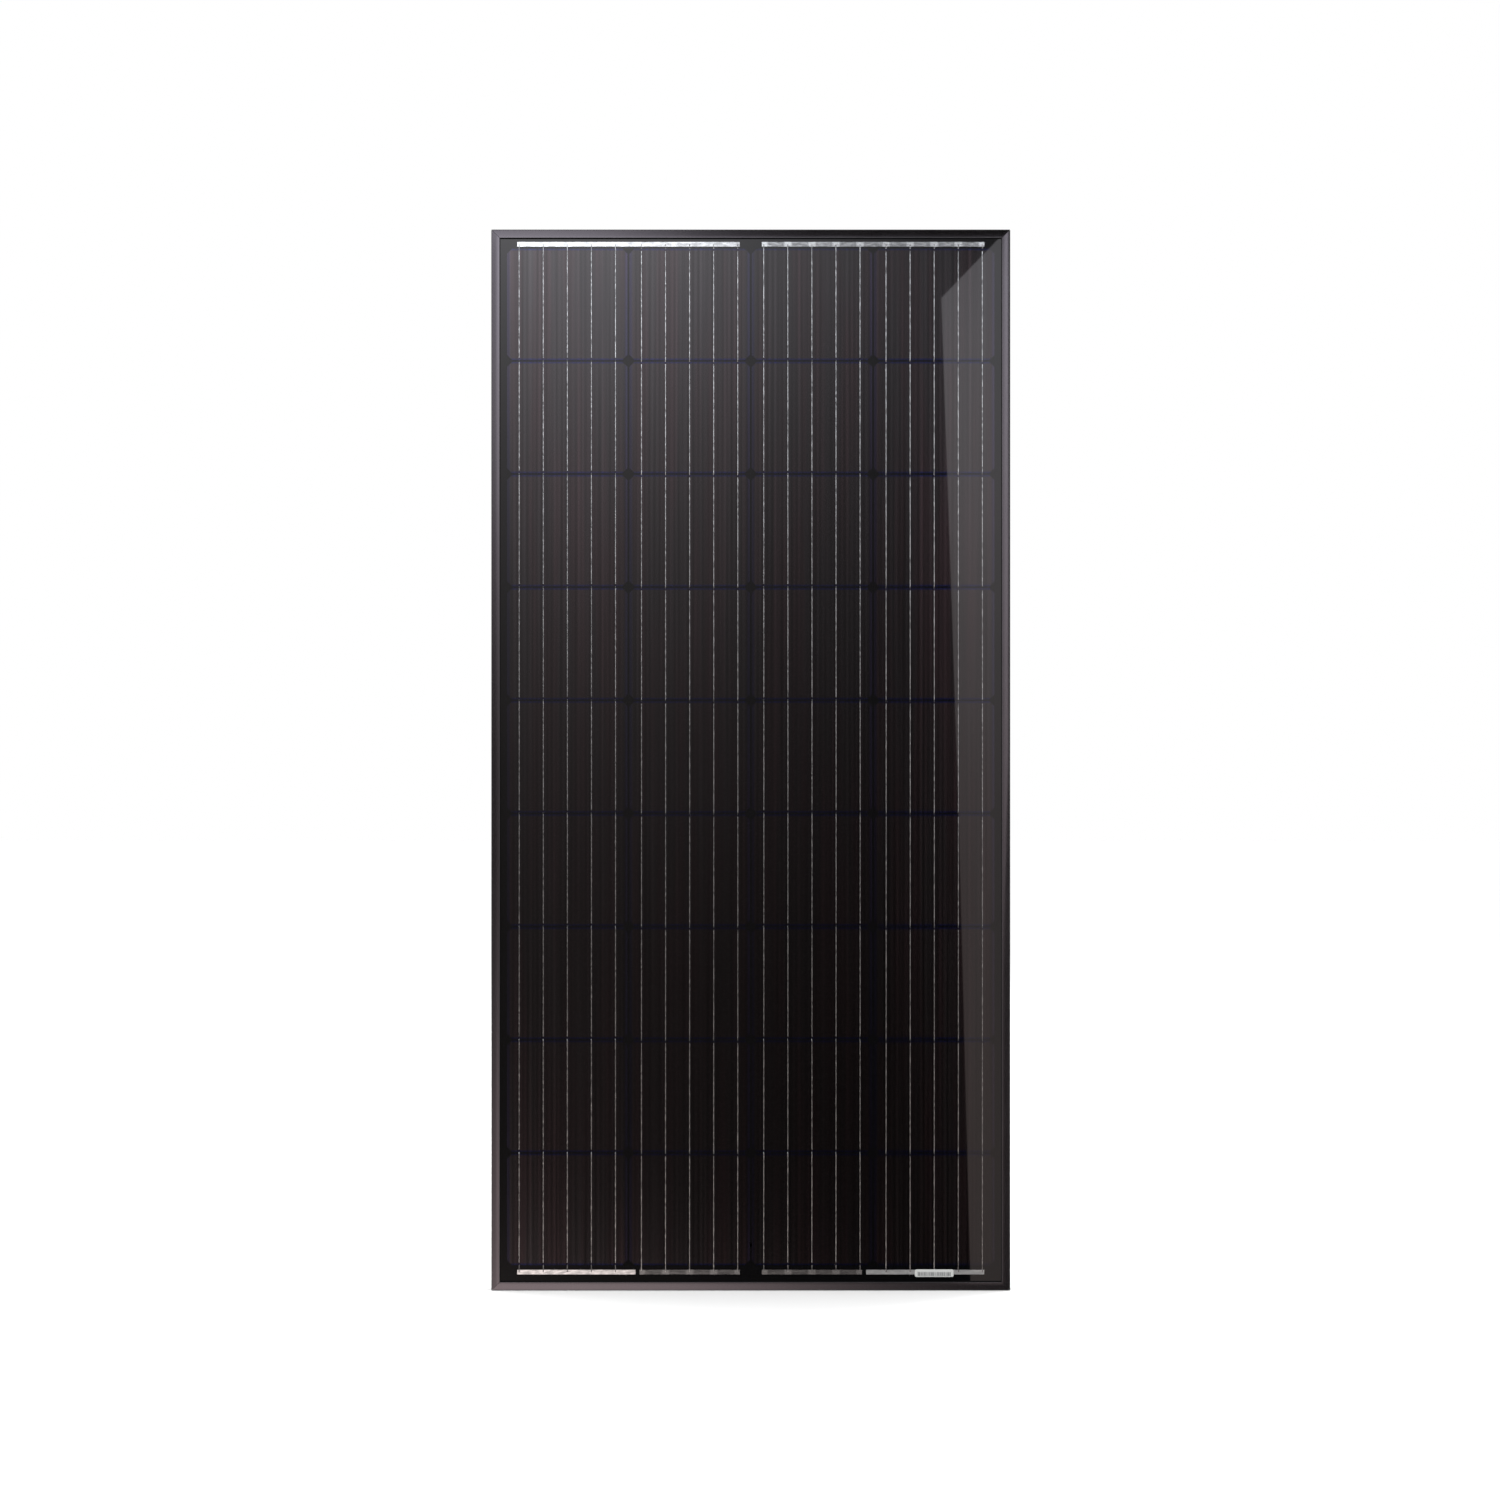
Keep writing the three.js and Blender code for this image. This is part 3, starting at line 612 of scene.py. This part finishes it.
def row_edges(row):
    """Z of the lower and upper edge of a row of cells."""
    return cell_low.z - row * pitch_z, cell_high.z - row * pitch_z


def add_ribbon(mesh_data, x, path, chance):
    """A flat strip along a path of (y, z), cut into short lengths that swell a little like solder."""
    rings = []
    for (y0, z0), (y1, z1) in zip(path, path[1:]):
        count = max(1, round(abs(z1 - z0) / BEAD_LENGTH))
        for step in range(count):
            part = step / count
            rings.append((y0 + (y1 - y0) * part, z0 + (z1 - z0) * part))
    rings.append(path[-1])
    placed = []
    for y, z in rings:
        half_width = (RIBBON_WIDTH + chance.uniform(-BEAD_SWELL, BEAD_SWELL)) / 2
        front = y - RIBBON_THICKNESS / 2
        rear = y + RIBBON_THICKNESS / 2
        ring = [
            Vector((x + part * half_width, front + drop * RIBBON_THICKNESS, z))
            for part, drop in RIBBON_FRONT
        ]
        ring += [Vector((x + half_width, rear, z)), Vector((x - half_width, rear, z))]
        placed.append(ring)
    add_loft(mesh_data, placed)


def ribbon_paths(rises):
    """The paths of one busbar's ribbons in a string, as (y, z). Each ribbon leaves the front of its cell
    by one edge and goes behind the next cell: the cell above it if the ribbons rise, else the one below.
    At each end of the string a ribbon goes to the bus ribbon instead."""
    heading = 1 if rises else -1
    turn = heading * RIBBON_TURN
    inset = heading * RIBBON_INSET
    in_front = cell_low.y - RIBBON_THICKNESS / 2 - RIBBON_GAP
    behind = cell_high.y + RIBBON_THICKNESS / 2 + RIBBON_GAP
    bottom_bus = (bottom_bus_low.z + bottom_bus_high.z) / 2
    top_bus = (top_bus_low.z + top_bus_high.z) / 2
    first_bus, last_bus = (bottom_bus, top_bus) if rises else (top_bus, bottom_bus)

    def near_and_far(row):
        bottom, top = row_edges(row)
        return (bottom, top) if rises else (top, bottom)

    paths = []
    for row in range(ROWS):
        near, far = near_and_far(row)
        path = [(in_front, near + inset), (in_front, far + turn)]
        onward = row - heading
        if 0 <= onward < ROWS:
            near, far = near_and_far(onward)
            path += [(behind, near - turn), (behind, far - inset)]
        else:
            path.append((in_front, last_bus))
        paths.append(path)
    near, far = near_and_far(ROWS - 1 if rises else 0)
    paths.append([(behind, far - inset), (behind, near - turn), (in_front, first_bus)])
    return paths


def tabbing_ribbons():
    """One piece for each string, with all the ribbons of its five busbars."""
    chance = random.Random(5)
    material = tinned(
        "tabbing_tin", 0.08, "z", tone=0.78, dull=0.40, grain=190.0, waves=0.08 * MM, under_glass=True,
    )
    for string in range(STRINGS):
        mesh_data = bmesh.new()
        for busbar in range(BUSBARS):
            x = string_x(string) + (busbar - (BUSBARS - 1) / 2) * busbar_pitch
            for path in ribbon_paths(rises=string % 2 == 0):
                add_ribbon(mesh_data, x, path, chance)
        piece(f"tabbing_ribbons_string_{string + 1}", mesh_data, material)


# ------------------------------------------------------------------ labels

SERIAL_X = 238.8 * MM
SERIAL_Z = bottom_bus_low.z + 1.7 * MM
SERIAL_HALF_WIDTH = 25.3 * MM
SERIAL_HALF_HEIGHT = 4.9 * MM
SERIAL_MARGIN = 4 * MM  # from the sticker's end to its first bar
RATING_Z = -395 * MM
RATING_HALF_WIDTH = 58 * MM
RATING_HALF_HEIGHT = 36 * MM
RATING_MARGIN = 6 * MM
RATING_ROWS = 9
RATING_ROW_STEP = 6.2 * MM
RATING_COLUMN = 8 * MM  # where the line between its two columns stands
LABEL_CORNER = 2.2 * MM
HALF_RULE = 0.15 * MM  # half the width of a ruled line
INK_THICKNESS = 0.01 * MM


def bar_widths(chance, start, end):
    """Start and end of each bar of a generic row of bars."""
    place = start
    while place < end:
        width = chance.choice((0.35, 0.35, 0.7, 1.05)) * MM
        yield place, min(place + width, end)
        place += width + chance.choice((0.35, 0.7)) * MM


def serial_label(film, ink):
    """The small sticker behind the glass, with a row of plain bars in place of a code."""
    gap = film_front - glass_back
    front = glass_back + gap * 0.35
    rear = glass_back + gap * 0.8
    label = bmesh.new()
    add_sticker(label, SERIAL_X, SERIAL_Z, SERIAL_HALF_WIDTH, SERIAL_HALF_HEIGHT, LABEL_CORNER, front, rear)
    piece("serial_label", label, film)
    bars = bmesh.new()
    reach = SERIAL_HALF_WIDTH - SERIAL_MARGIN
    bar_bottom, bar_top = SERIAL_Z - 3.8 * MM, SERIAL_Z + 1.4 * MM
    ink_front, ink_rear = front - INK_THICKNESS, front - INK_THICKNESS / 4
    for start, end in bar_widths(random.Random(11), SERIAL_X - reach, SERIAL_X + reach):
        add_block(bars, (start, ink_front, bar_bottom), (end, ink_rear, bar_top))
    piece("serial_label_bars", bars, ink)


def rating_label(film, ink):
    """The sticker on the backsheet: ruled lines and blank fields, with no wording."""
    front, rear = back_face + 0.02 * MM, back_face + 0.14 * MM
    label = bmesh.new()
    add_sticker(label, 0.0, RATING_Z, RATING_HALF_WIDTH, RATING_HALF_HEIGHT, LABEL_CORNER, front, rear)
    piece("rating_label", label, film)
    ink_rear = rear + INK_THICKNESS
    marks = bmesh.new()
    reach = RATING_HALF_WIDTH - RATING_MARGIN
    first_row = RATING_Z + RATING_HALF_HEIGHT - 9 * MM
    last_row = first_row - (RATING_ROWS - 1) * RATING_ROW_STEP
    for row in range(RATING_ROWS):
        z = first_row - row * RATING_ROW_STEP
        add_block(marks, (-reach, rear, z - HALF_RULE), (reach, ink_rear, z + HALF_RULE))
    for x in (-reach, RATING_COLUMN, reach):
        add_block(marks, (x - HALF_RULE, rear, last_row), (x + HALF_RULE, ink_rear, first_row))
    bar_bottom = RATING_Z - RATING_HALF_HEIGHT + 3.5 * MM
    for start, end in bar_widths(random.Random(23), -40 * MM, 40 * MM):
        add_block(marks, (start, rear, bar_bottom), (end, ink_rear, bar_bottom + 6 * MM))
    piece("rating_label_marks", marks, ink)


# ------------------------------------------------------------------ junction box details

BEAD_REACH = 2.3  # mm out from the box, give or take the swell
BEAD_RISE = 0.85  # of its reach
BEAD_STEP = 4 * MM


def sealant_bead():
    """The bead of silicone squeezed out round the foot of the junction box."""
    chance = random.Random(31)
    centre_z = (BOX_TOP + BOX_BOTTOM) / 2
    outline = rounded_outline(BOX_HALF_WIDTH, (BOX_TOP - BOX_BOTTOM) / 2, BOX_CORNER, steps=8)
    around = []
    for (x0, z0), (x1, z1) in zip(outline, outline[1:] + outline[:1]):
        count = max(1, round(math.dist((x0, z0), (x1, z1)) / BEAD_STEP))
        around += [(x0 + (x1 - x0) * step / count, z0 + (z1 - z0) * step / count) for step in range(count)]
    rings = []
    swell = 0.0
    for index, (x, z) in enumerate(around):
        x0, z0 = around[index - 1]
        x1, z1 = around[(index + 1) % len(around)]
        out = Vector((z1 - z0, 0, -(x1 - x0))).normalized()
        swell = 0.7 * swell + 0.3 * chance.uniform(-0.9, 0.9)  # drifts slowly along the bead
        reach = (BEAD_REACH + swell) * MM
        height = reach * BEAD_RISE
        foot = Vector((x, back_face + 0.02 * MM, centre_z + z))
        inner = foot - out * 0.8 * MM
        ring = [inner]
        for step in range(5):
            angle = step / 4 * math.pi / 2
            lift = Vector((0, height * math.sin(angle), 0))
            ring.append(foot + out * reach * math.cos(angle) + lift)
        ring.append(inner + Vector((0, height, 0)))
        rings.append(ring)
    mesh_data = bmesh.new()
    add_loft(mesh_data, rings, closed=True)
    smooth(piece("box_sealant_bead", mesh_data, sealant()), 60)


def gland_inserts(rubber):
    """Rubber bushes that grip a cable inside each gland nut."""
    centre_y = (nut_low.y + nut_high.y) / 2
    end = nut_high.z - 0.7 * MM
    start = BOX_TOP + 3 * MM
    bore, body, lip = 2.9 * MM, 4.3 * MM, 3.8 * MM  # radii
    profile = [
        (bore, start), (body, start), (body, nut_high.z - 3.2 * MM), (lip, nut_high.z - 2.4 * MM),
        (lip, end - 0.4 * MM), (lip - 0.4 * MM, end), (bore + 0.2 * MM, end), (bore, end - 0.3 * MM),
    ]
    steps = 32
    for side, x in (("left", -gland_x), ("right", gland_x)):
        rings = []
        for step in range(steps):
            angle = 2 * math.pi * step / steps
            across, along = math.cos(angle), math.sin(angle)
            rings.append([
                Vector((x + radius * across, centre_y + radius * along, z)) for radius, z in profile
            ])
        mesh_data = bmesh.new()
        add_loft(mesh_data, rings, closed=True)
        smooth(piece(f"gland_insert_{side}", mesh_data, rubber))


TERMINAL_X = (-23 * MM, 0.0, 23 * MM)
TERMINAL_HALF_WIDTH = 7.5 * MM
TERMINAL_BOTTOM = BOX_BOTTOM + 31 * MM
TERMINAL_TOP = BOX_BOTTOM + 65 * MM
TERMINAL_FACE = PLINTH_TOP + 1.0 * MM
CLAMP_HALF_WIDTH = 5 * MM
CLAMP_BOTTOM = TERMINAL_BOTTOM + 4 * MM
CLAMP_HEIGHT = 9 * MM
CLAMP_FACE = PLINTH_TOP + 4.8 * MM
SCREW_HEAD = 1.1 * MM  # how far a screw's head stands out of its clamp
SCREW_BAR_HALF = (2.3 * MM, 0.4 * MM)  # half the length and half the width of the bar across its head
DIODE_Z = TERMINAL_TOP - 4 * MM
DIODE_HALF_LENGTH = 4.6 * MM
DIODE_RADIUS = 2.7 * MM


def terminals():
    """Three brass terminals: a plate for the lead-outs and a screw clamp for the cable."""
    metal = brass()
    screw_z = CLAMP_BOTTOM + CLAMP_HEIGHT / 2
    bar_reach, bar_half = SCREW_BAR_HALF
    bar_face = CLAMP_FACE + SCREW_HEAD
    head = [(2.9 * MM, 0), (3.0 * MM, 0.3 * MM), (3.0 * MM, 0.8 * MM), (2.6 * MM, SCREW_HEAD)]
    for index, x in enumerate(TERMINAL_X):
        mesh_data = bmesh.new()
        add_block(
            mesh_data, (x - TERMINAL_HALF_WIDTH, PLINTH_TOP + 0.05 * MM, TERMINAL_BOTTOM),
            (x + TERMINAL_HALF_WIDTH, TERMINAL_FACE, TERMINAL_TOP), 0.25 * MM,
        )
        add_block(
            mesh_data, (x - CLAMP_HALF_WIDTH, TERMINAL_FACE - 0.1 * MM, CLAMP_BOTTOM),
            (x + CLAMP_HALF_WIDTH, CLAMP_FACE, CLAMP_BOTTOM + CLAMP_HEIGHT), 0.5 * MM,
        )
        add_lathe(mesh_data, head, (x, CLAMP_FACE, screw_z), "y")
        add_block(
            mesh_data, (x - bar_reach, bar_face - 0.05 * MM, screw_z - bar_half),
            (x + bar_reach, bar_face + 0.2 * MM, screw_z + bar_half), 0.08 * MM,
        )
        smooth(piece(f"terminal_{index + 1}", mesh_data, metal))


def diodes():
    """Two axial bypass diodes, each between two neighbouring terminals."""
    epoxy = diode_epoxy()
    wire = tinned("diode_wire", 0.2, "x")
    profile = [
        (DIODE_RADIUS * 0.75, -DIODE_HALF_LENGTH), (DIODE_RADIUS, -DIODE_HALF_LENGTH * 0.88),
        (DIODE_RADIUS, DIODE_HALF_LENGTH * 0.88), (DIODE_RADIUS * 0.75, DIODE_HALF_LENGTH),
    ]
    for index, (x0, x1) in enumerate(zip(TERMINAL_X, TERMINAL_X[1:])):
        centre = Vector(((x0 + x1) / 2, PLINTH_TOP + 4.2 * MM, DIODE_Z))
        body = bmesh.new()
        add_lathe(body, profile, centre, "x")
        smooth(piece(f"bypass_diode_{index + 1}", body, epoxy))
        leads = bmesh.new()
        bend = (x1 - x0) / 2 - 3 * MM
        for side in (-1, 1):
            route = [centre + Vector((side * out, -down, 0)) for out, down in (
                (DIODE_HALF_LENGTH * 0.9, 0), (bend - 1.2 * MM, 0), (bend - 0.2 * MM, 0.4 * MM),
                (bend, 1.4 * MM), (bend, 3.1 * MM),
            )]
            add_wire(leads, route, 0.6 * MM)
        smooth(piece(f"bypass_diode_leads_{index + 1}", leads, wire))


def add_wire(mesh_data, route, radius, steps=12):
    """A round wire along a route in a plane across Z."""
    rings = []
    side = Vector((0, 0, 1))
    for index, point in enumerate(route):
        before = route[max(index - 1, 0)]
        after = route[min(index + 1, len(route) - 1)]
        across = (after - before).normalized().cross(side)
        turns = [2 * math.pi * step / steps for step in range(steps)]
        rings.append([point + (side * math.cos(turn) + across * math.sin(turn)) * radius for turn in turns])
    add_loft(mesh_data, rings)


def lead_outs():
    """Four flat leads that come up through the window and lie on the terminals."""
    material = tinned("lead_out_tin", 0.22, "z")
    window_z = BOX_BOTTOM + 12 * MM
    places = (TERMINAL_X[0], -4 * MM, 4 * MM, TERMINAL_X[2])
    half_width = 2.5 * MM
    thickness = 0.3 * MM
    rest = TERMINAL_FACE + 0.05 * MM
    top = rest + thickness
    route = [
        (backsheet_low.y - 0.2 * MM, window_z), (BOX_FLOOR + 1 * MM, window_z),
        (top - 3.2 * MM, window_z + 0.6 * MM), (top - 1.0 * MM, window_z + 2.6 * MM),
        (top + 0.3 * MM, window_z + 6 * MM), (top + 0.3 * MM, TERMINAL_BOTTOM - 1.5 * MM),
        (rest, TERMINAL_BOTTOM + 0.5 * MM), (rest, CLAMP_BOTTOM - 0.6 * MM),
    ]
    for index, x in enumerate(places):
        rings = []
        for point, (y, z) in enumerate(route):
            y0, z0 = route[max(point - 1, 0)]
            y1, z1 = route[min(point + 1, len(route) - 1)]
            out = Vector((0, z1 - z0, -(y1 - y0))).normalized() * thickness / 2
            centre = Vector((x, y, z))
            side = Vector((half_width, 0, 0))
            left, right = centre - side, centre + side
            rings.append([left - out, right - out, right + out, left + out])
        mesh_data = bmesh.new()
        add_loft(mesh_data, rings)
        smooth(piece(f"lead_out_{index + 1}", mesh_data, material))


def polarity_marks(plastic):
    """Raised plus and minus signs on the lid, above the glands they belong to."""
    z = BOX_TOP - 19 * MM
    foot, face = lid_face - 0.2 * MM, lid_face + 0.35 * MM
    arm, half = 4 * MM, 0.8 * MM
    bevel = 0.15 * MM
    for name, x, upright in (("minus", -gland_x, False), ("plus", gland_x, True)):
        mesh_data = bmesh.new()
        add_block(mesh_data, (x - arm, foot, z - half), (x + arm, face, z + half), bevel)
        if upright:
            for start, end in ((z - arm, z - half), (z + half, z + arm)):
                add_block(mesh_data, (x - half, foot, start), (x + half, face, end), bevel)
        piece(f"lid_mark_{name}", mesh_data, plastic, "box_lid")


# ------------------------------------------------------------------ stage, light and camera

CAMERA_DISTANCE = 6.0
CAMERA_X = -0.001
CAMERA_Z = 0.013
PANEL_SHARE = 0.346  # of the picture's width that the panel takes
CARD_DISTANCE = 7.0
BEYOND = CARD_DISTANCE / CAMERA_DISTANCE
ROOM_HALF = 3.6
FLOOR_HALF = 30.0
MIRRORED = 1 + BEYOND  # how much larger a thing on the card is than the patch of glass that mirrors it
GLASS_SIDE = panel_width / 2 - LIP_WIDTH
GLASS_TOP = panel_height / 2 - LIP_WIDTH

WINDOW_GLOW = 1.58
HAZE_GLOW = 0.06
DAYLIGHT_GLOW = 0.22
GROUND_GLOW = 1.46
FAR_GLOW = 0.15  # of the room far to the left, which only the sides of the frame mirror


def on_card(x, z):
    """The place on the card that the camera sees mirrored at a place on the panel."""
    return x * MIRRORED - CAMERA_X * BEYOND, z * MIRRORED - CAMERA_Z * BEYOND


def glowing(name, strength):
    """A material that shines by a function of its place."""
    shader = Shader(name)
    made = shader.node("Emission", {"Color": room_tint(shader), "Strength": strength(shader)})
    shader.feed(shader.output.inputs["Surface"], made.outputs[0])
    return shader.material


def fade(shader, value, start, width):
    """1 at the start, and e times more a width further on."""
    return shader.math("EXPONENT", shader.math("DIVIDE", shader.math("SUBTRACT", value, start), width))


def logistic(shader, value, middle, width):
    """Falls from 1 to 0 round a middle value, or rises if the width is negative."""
    return shader.math("DIVIDE", 1.0, shader.total(fade(shader, value, middle, width), 1.0))


def panel_place(shader):
    """Across and up on the panel, of the spot that mirrors a place on the card."""
    x, _, z = shader.axes()
    across = shader.math("DIVIDE", shader.total(x, CAMERA_X * BEYOND), MIRRORED)
    up = shader.math("DIVIDE", shader.total(z, CAMERA_Z * BEYOND), MIRRORED)
    return across, up


def room_in_glass(shader, x, z):
    """What the glass mirrors: the window and haze round it, daylight off the ground at the lower left,
    and the light beyond the right rail."""
    up = fade(shader, shader.math("MINIMUM", z, GLASS_TOP), 0.52, 0.265)
    window = shader.product(up, logistic(shader, x, 0.03, 0.13), WINDOW_GLOW)
    haze = shader.product(logistic(shader, x, 0.0, 0.12), HAZE_GLOW)
    near_ground = shader.math("MINIMUM", fade(shader, z, -GLASS_TOP, -0.11), 1.0)
    near_left = shader.math("MINIMUM", fade(shader, x, -GLASS_SIDE, -0.12), 1.0)
    daylight = shader.product(near_ground, near_left, DAYLIGHT_GLOW)
    past_right = shader.ramp(x, GLASS_SIDE, GLASS_SIDE + 0.04, 0.0, 0.07)
    far_right = shader.ramp(x, 0.66, 0.78, 0.0, 0.4)
    return shader.total(window, haze, daylight, past_right, far_right)


def room_beside(shader, x, z):
    """What the left rail mirrors, bright at both ends and dark in between."""
    up_left = shader.product(logistic(shader, z, 0.34, -0.12), 1.75)
    down_left = shader.product(logistic(shader, z, -0.41, 0.13), 0.95)
    nearer = shader.ramp(x, -0.50, -0.36, 0.60, 1.70)
    return shader.product(shader.total(up_left, down_left, 0.03), nearer)


def room_above(shader, x, z):
    """What the top rail mirrors: the sky at the left and the window's sill."""
    level = shader.ramp(z, GLASS_TOP, GLASS_TOP + 0.35, 1.95, 1.5)
    sky = shader.product(logistic(shader, x, -0.14, 0.052), level)
    sill = shader.ramp(z, GLASS_TOP + 0.02, GLASS_TOP + 0.12, 0.06, 0.0)
    return shader.product(shader.total(sky, sill), shader.math("LESS_THAN", z, GLASS_TOP + 0.5))


def room_below(shader, x, z):
    """What the bottom rail mirrors: the sunlit ground at the left."""
    far_end = shader.ramp(z, -GLASS_TOP - 0.6, -GLASS_TOP - 0.35)
    return shader.product(logistic(shader, x, 0.0, 0.10), far_end, GROUND_GLOW)


def room_glow(shader):
    """How bright the room is at each place that the panel mirrors, by the place on the panel. Places
    beyond the glass are seen only in the lips of the frame."""
    x, z = panel_place(shader)
    beside = shader.ramp(x, -GLASS_SIDE, -GLASS_SIDE - 0.05)
    above = shader.ramp(z, GLASS_TOP, GLASS_TOP + 0.03)
    below = shader.ramp(z, -GLASS_TOP, -GLASS_TOP - 0.06)
    far_left = shader.ramp(x, -0.80, -1.0)
    glow = shader.mix(beside, room_in_glass(shader, x, z), room_beside(shader, x, z))
    glow = shader.mix(above, glow, room_above(shader, x, z))
    glow = shader.mix(below, glow, room_below(shader, x, z))
    return shader.mix(far_left, glow, grey(FAR_GLOW))


def room_tint(shader):
    """Bluish white up high, rosier towards the ground."""
    _, z = panel_place(shader)
    return shader.mix(shader.ramp(z, -0.5, 0.6), grey(1.0, 1.25, 1.0, 0.98), grey(1.0, 1.06, 1.0, 1.09))


def sheet_glow(shader):
    """The white sheet, lit from above, with a dimmer strip that only the frame's right rail mirrors."""
    x, z = panel_place(shader)
    lit = shader.total(shader.product(logistic(shader, z, 0.25, -0.16), 1.38), 0.67)
    past_glass = shader.math("GREATER_THAN", x, GLASS_SIDE)
    strip = shader.mix(past_glass, grey(1.0), shader.ramp(x, 0.36, 0.50, 0.44, 0.92))
    return shader.product(lit, strip, shader.ramp(z, -0.82, -0.70))


def square(half):
    return [(-half, -half), (half, -half), (half, half), (-half, half)]


def card(name, corners, distance, material):
    """A flat lit card in front of the panel that the camera doesn't see."""
    mesh_data = bmesh.new()
    mesh_data.faces.new([mesh_data.verts.new((x, -distance, z)) for x, z in corners])
    made = add_object(name, mesh_data, material)
    made.visible_camera = False
    made.visible_diffuse = False
    made.visible_shadow = False


# Corners of the white sheet, by the place on the panel that mirrors each.
SHEET_OUTLINE = [
    (0.247, 0.599), (0.328, 0.683), (0.60, 0.75), (0.60, 0.0), (0.38, -0.26),
    (0.37, -0.82), (0.2895, -0.82), (0.2855, -0.70), (0.269, -0.052),
]


def reflection_cards():
    """What the panel mirrors: a dim room with a window, and the edge of a white sheet at the right."""
    card("room_card", square(ROOM_HALF), CARD_DISTANCE, glowing("room_light", room_glow))
    sheet = [on_card(x, z) for x, z in SHEET_OUTLINE]
    card("white_sheet", sheet, CARD_DISTANCE - 0.02, glowing("sheet_light", sheet_glow))


def floor():
    """A plain pale floor under the panel. It isn't mirrored in the glass."""
    shader = Shader("pale_floor")
    mottle = shader.noise(3.0, 2.0)
    material = shader.principled(shader.mix(mottle, grey(0.86), grey(0.9)), 0.8, Specular_IOR_Level=0.0)
    mesh_data = bmesh.new()
    ground = low.z - 0.2 * MM
    mesh_data.faces.new([mesh_data.verts.new((x, y, ground)) for x, y in square(FLOOR_HALF)])
    made = add_object("floor", mesh_data, material)
    made.visible_glossy = False


def area_light(name, place, target, size, power):
    """A soft light that isn't itself mirrored in the frame."""
    data = bpy.data.lights.new(name, "AREA")
    data.shape = "SQUARE"
    data.size = size
    data.energy = power
    made = bpy.data.objects.new(name, data)
    bpy.context.scene.collection.objects.link(made)
    made.location = place
    made.rotation_mode = "QUATERNION"
    made.rotation_quaternion = (Vector(target) - Vector(place)).to_track_quat("-Z", "Y")
    made.visible_glossy = False


def world_light():
    """White to the camera, an even light for what is lit, and a dimmer room for what is mirrored, which
    is darkest in front of the panel."""
    world = bpy.data.worlds.new("studio")
    bpy.context.scene.world = world
    world.use_nodes = True
    tree = world.node_tree
    tree.nodes.clear()

    def add(kind, **settings):
        made = tree.nodes.new("ShaderNode" + kind)
        for key, value in settings.items():
            setattr(made, key, value)
        return made

    path = add("LightPath")
    direction = add("SeparateXYZ")
    tree.links.new(add("TexCoord").outputs["Generated"], direction.inputs[0])
    dimming = add("MapRange")
    for key, value in {"From Min": -0.75, "From Max": -0.2, "To Min": 0.12, "To Max": 0.45}.items():
        dimming.inputs[key].default_value = value
    tree.links.new(direction.outputs[1], dimming.inputs["Value"])
    lit, mirrored, seen = (add("Background") for _ in range(3))
    lit.inputs["Strength"].default_value = 1.15
    tree.links.new(dimming.outputs["Result"], mirrored.inputs["Strength"])
    for shade in (lit, mirrored, seen):
        shade.inputs["Color"].default_value = (1, 1, 1, 1)
    indirect = add("MixShader")
    tree.links.new(path.outputs["Is Glossy Ray"], indirect.inputs[0])
    tree.links.new(lit.outputs[0], indirect.inputs[1])
    tree.links.new(mirrored.outputs[0], indirect.inputs[2])
    whole = add("MixShader")
    tree.links.new(path.outputs["Is Camera Ray"], whole.inputs[0])
    tree.links.new(indirect.outputs[0], whole.inputs[1])
    tree.links.new(seen.outputs[0], whole.inputs[2])
    tree.links.new(whole.outputs[0], add("OutputWorld").inputs["Surface"])


def lights():
    centre = (0, 0, 0)
    area_light("key", (-4.6, -3.4, 4.4), centre, 4.0, 200)
    area_light("fill", (5.0, -2.4, 2.6), centre, 3.6, 90)
    area_light("rear", (3.2, 5.0, 3.6), centre, 4.0, 330)
    area_light("rear_fill", (-4.4, 3.4, 3.0), centre, 3.6, 110)


def keep_faint_paths():
    """Follows light through all the clear layers, however little of it a surface mirrors."""
    cycles = bpy.context.scene.cycles
    cycles.transparent_max_bounces = 32
    cycles.min_transparent_bounces = 32
    cycles.min_light_bounces = 4


def camera():
    """Looks level and square at the front of the panel, through a long lens."""
    data = bpy.data.cameras.new("camera")
    data.sensor_width = 36.0
    data.lens = data.sensor_width * CAMERA_DISTANCE * PANEL_SHARE / panel_width
    data.clip_end = 100.0
    made = bpy.data.objects.new("camera", data)
    bpy.context.scene.collection.objects.link(made)
    made.location = (CAMERA_X, low.y - CAMERA_DISTANCE, CAMERA_Z)
    made.rotation_euler = (math.pi / 2, 0, 0)
    bpy.context.scene.camera = made


# ------------------------------------------------------------------ assembly

camera()
world_light()
lights()
reflection_cards()
floor()
plastic = dress_cad_nodes()
tabbing_ribbons()
white_film = label_film("white_label_film", 0.55, under_glass=True)
silver_film = label_film("silver_label_film", 0.36)
ink = print_ink()
serial_label(white_film, ink)
rating_label(silver_film, ink)
sealant_bead()
gland_inserts(black_rubber())
terminals()
diodes()
lead_outs()
polarity_marks(plastic)

bpy.context.scene.view_settings.view_transform = "Standard"
keep_faint_paths()
bpy.context.view_layer.update()
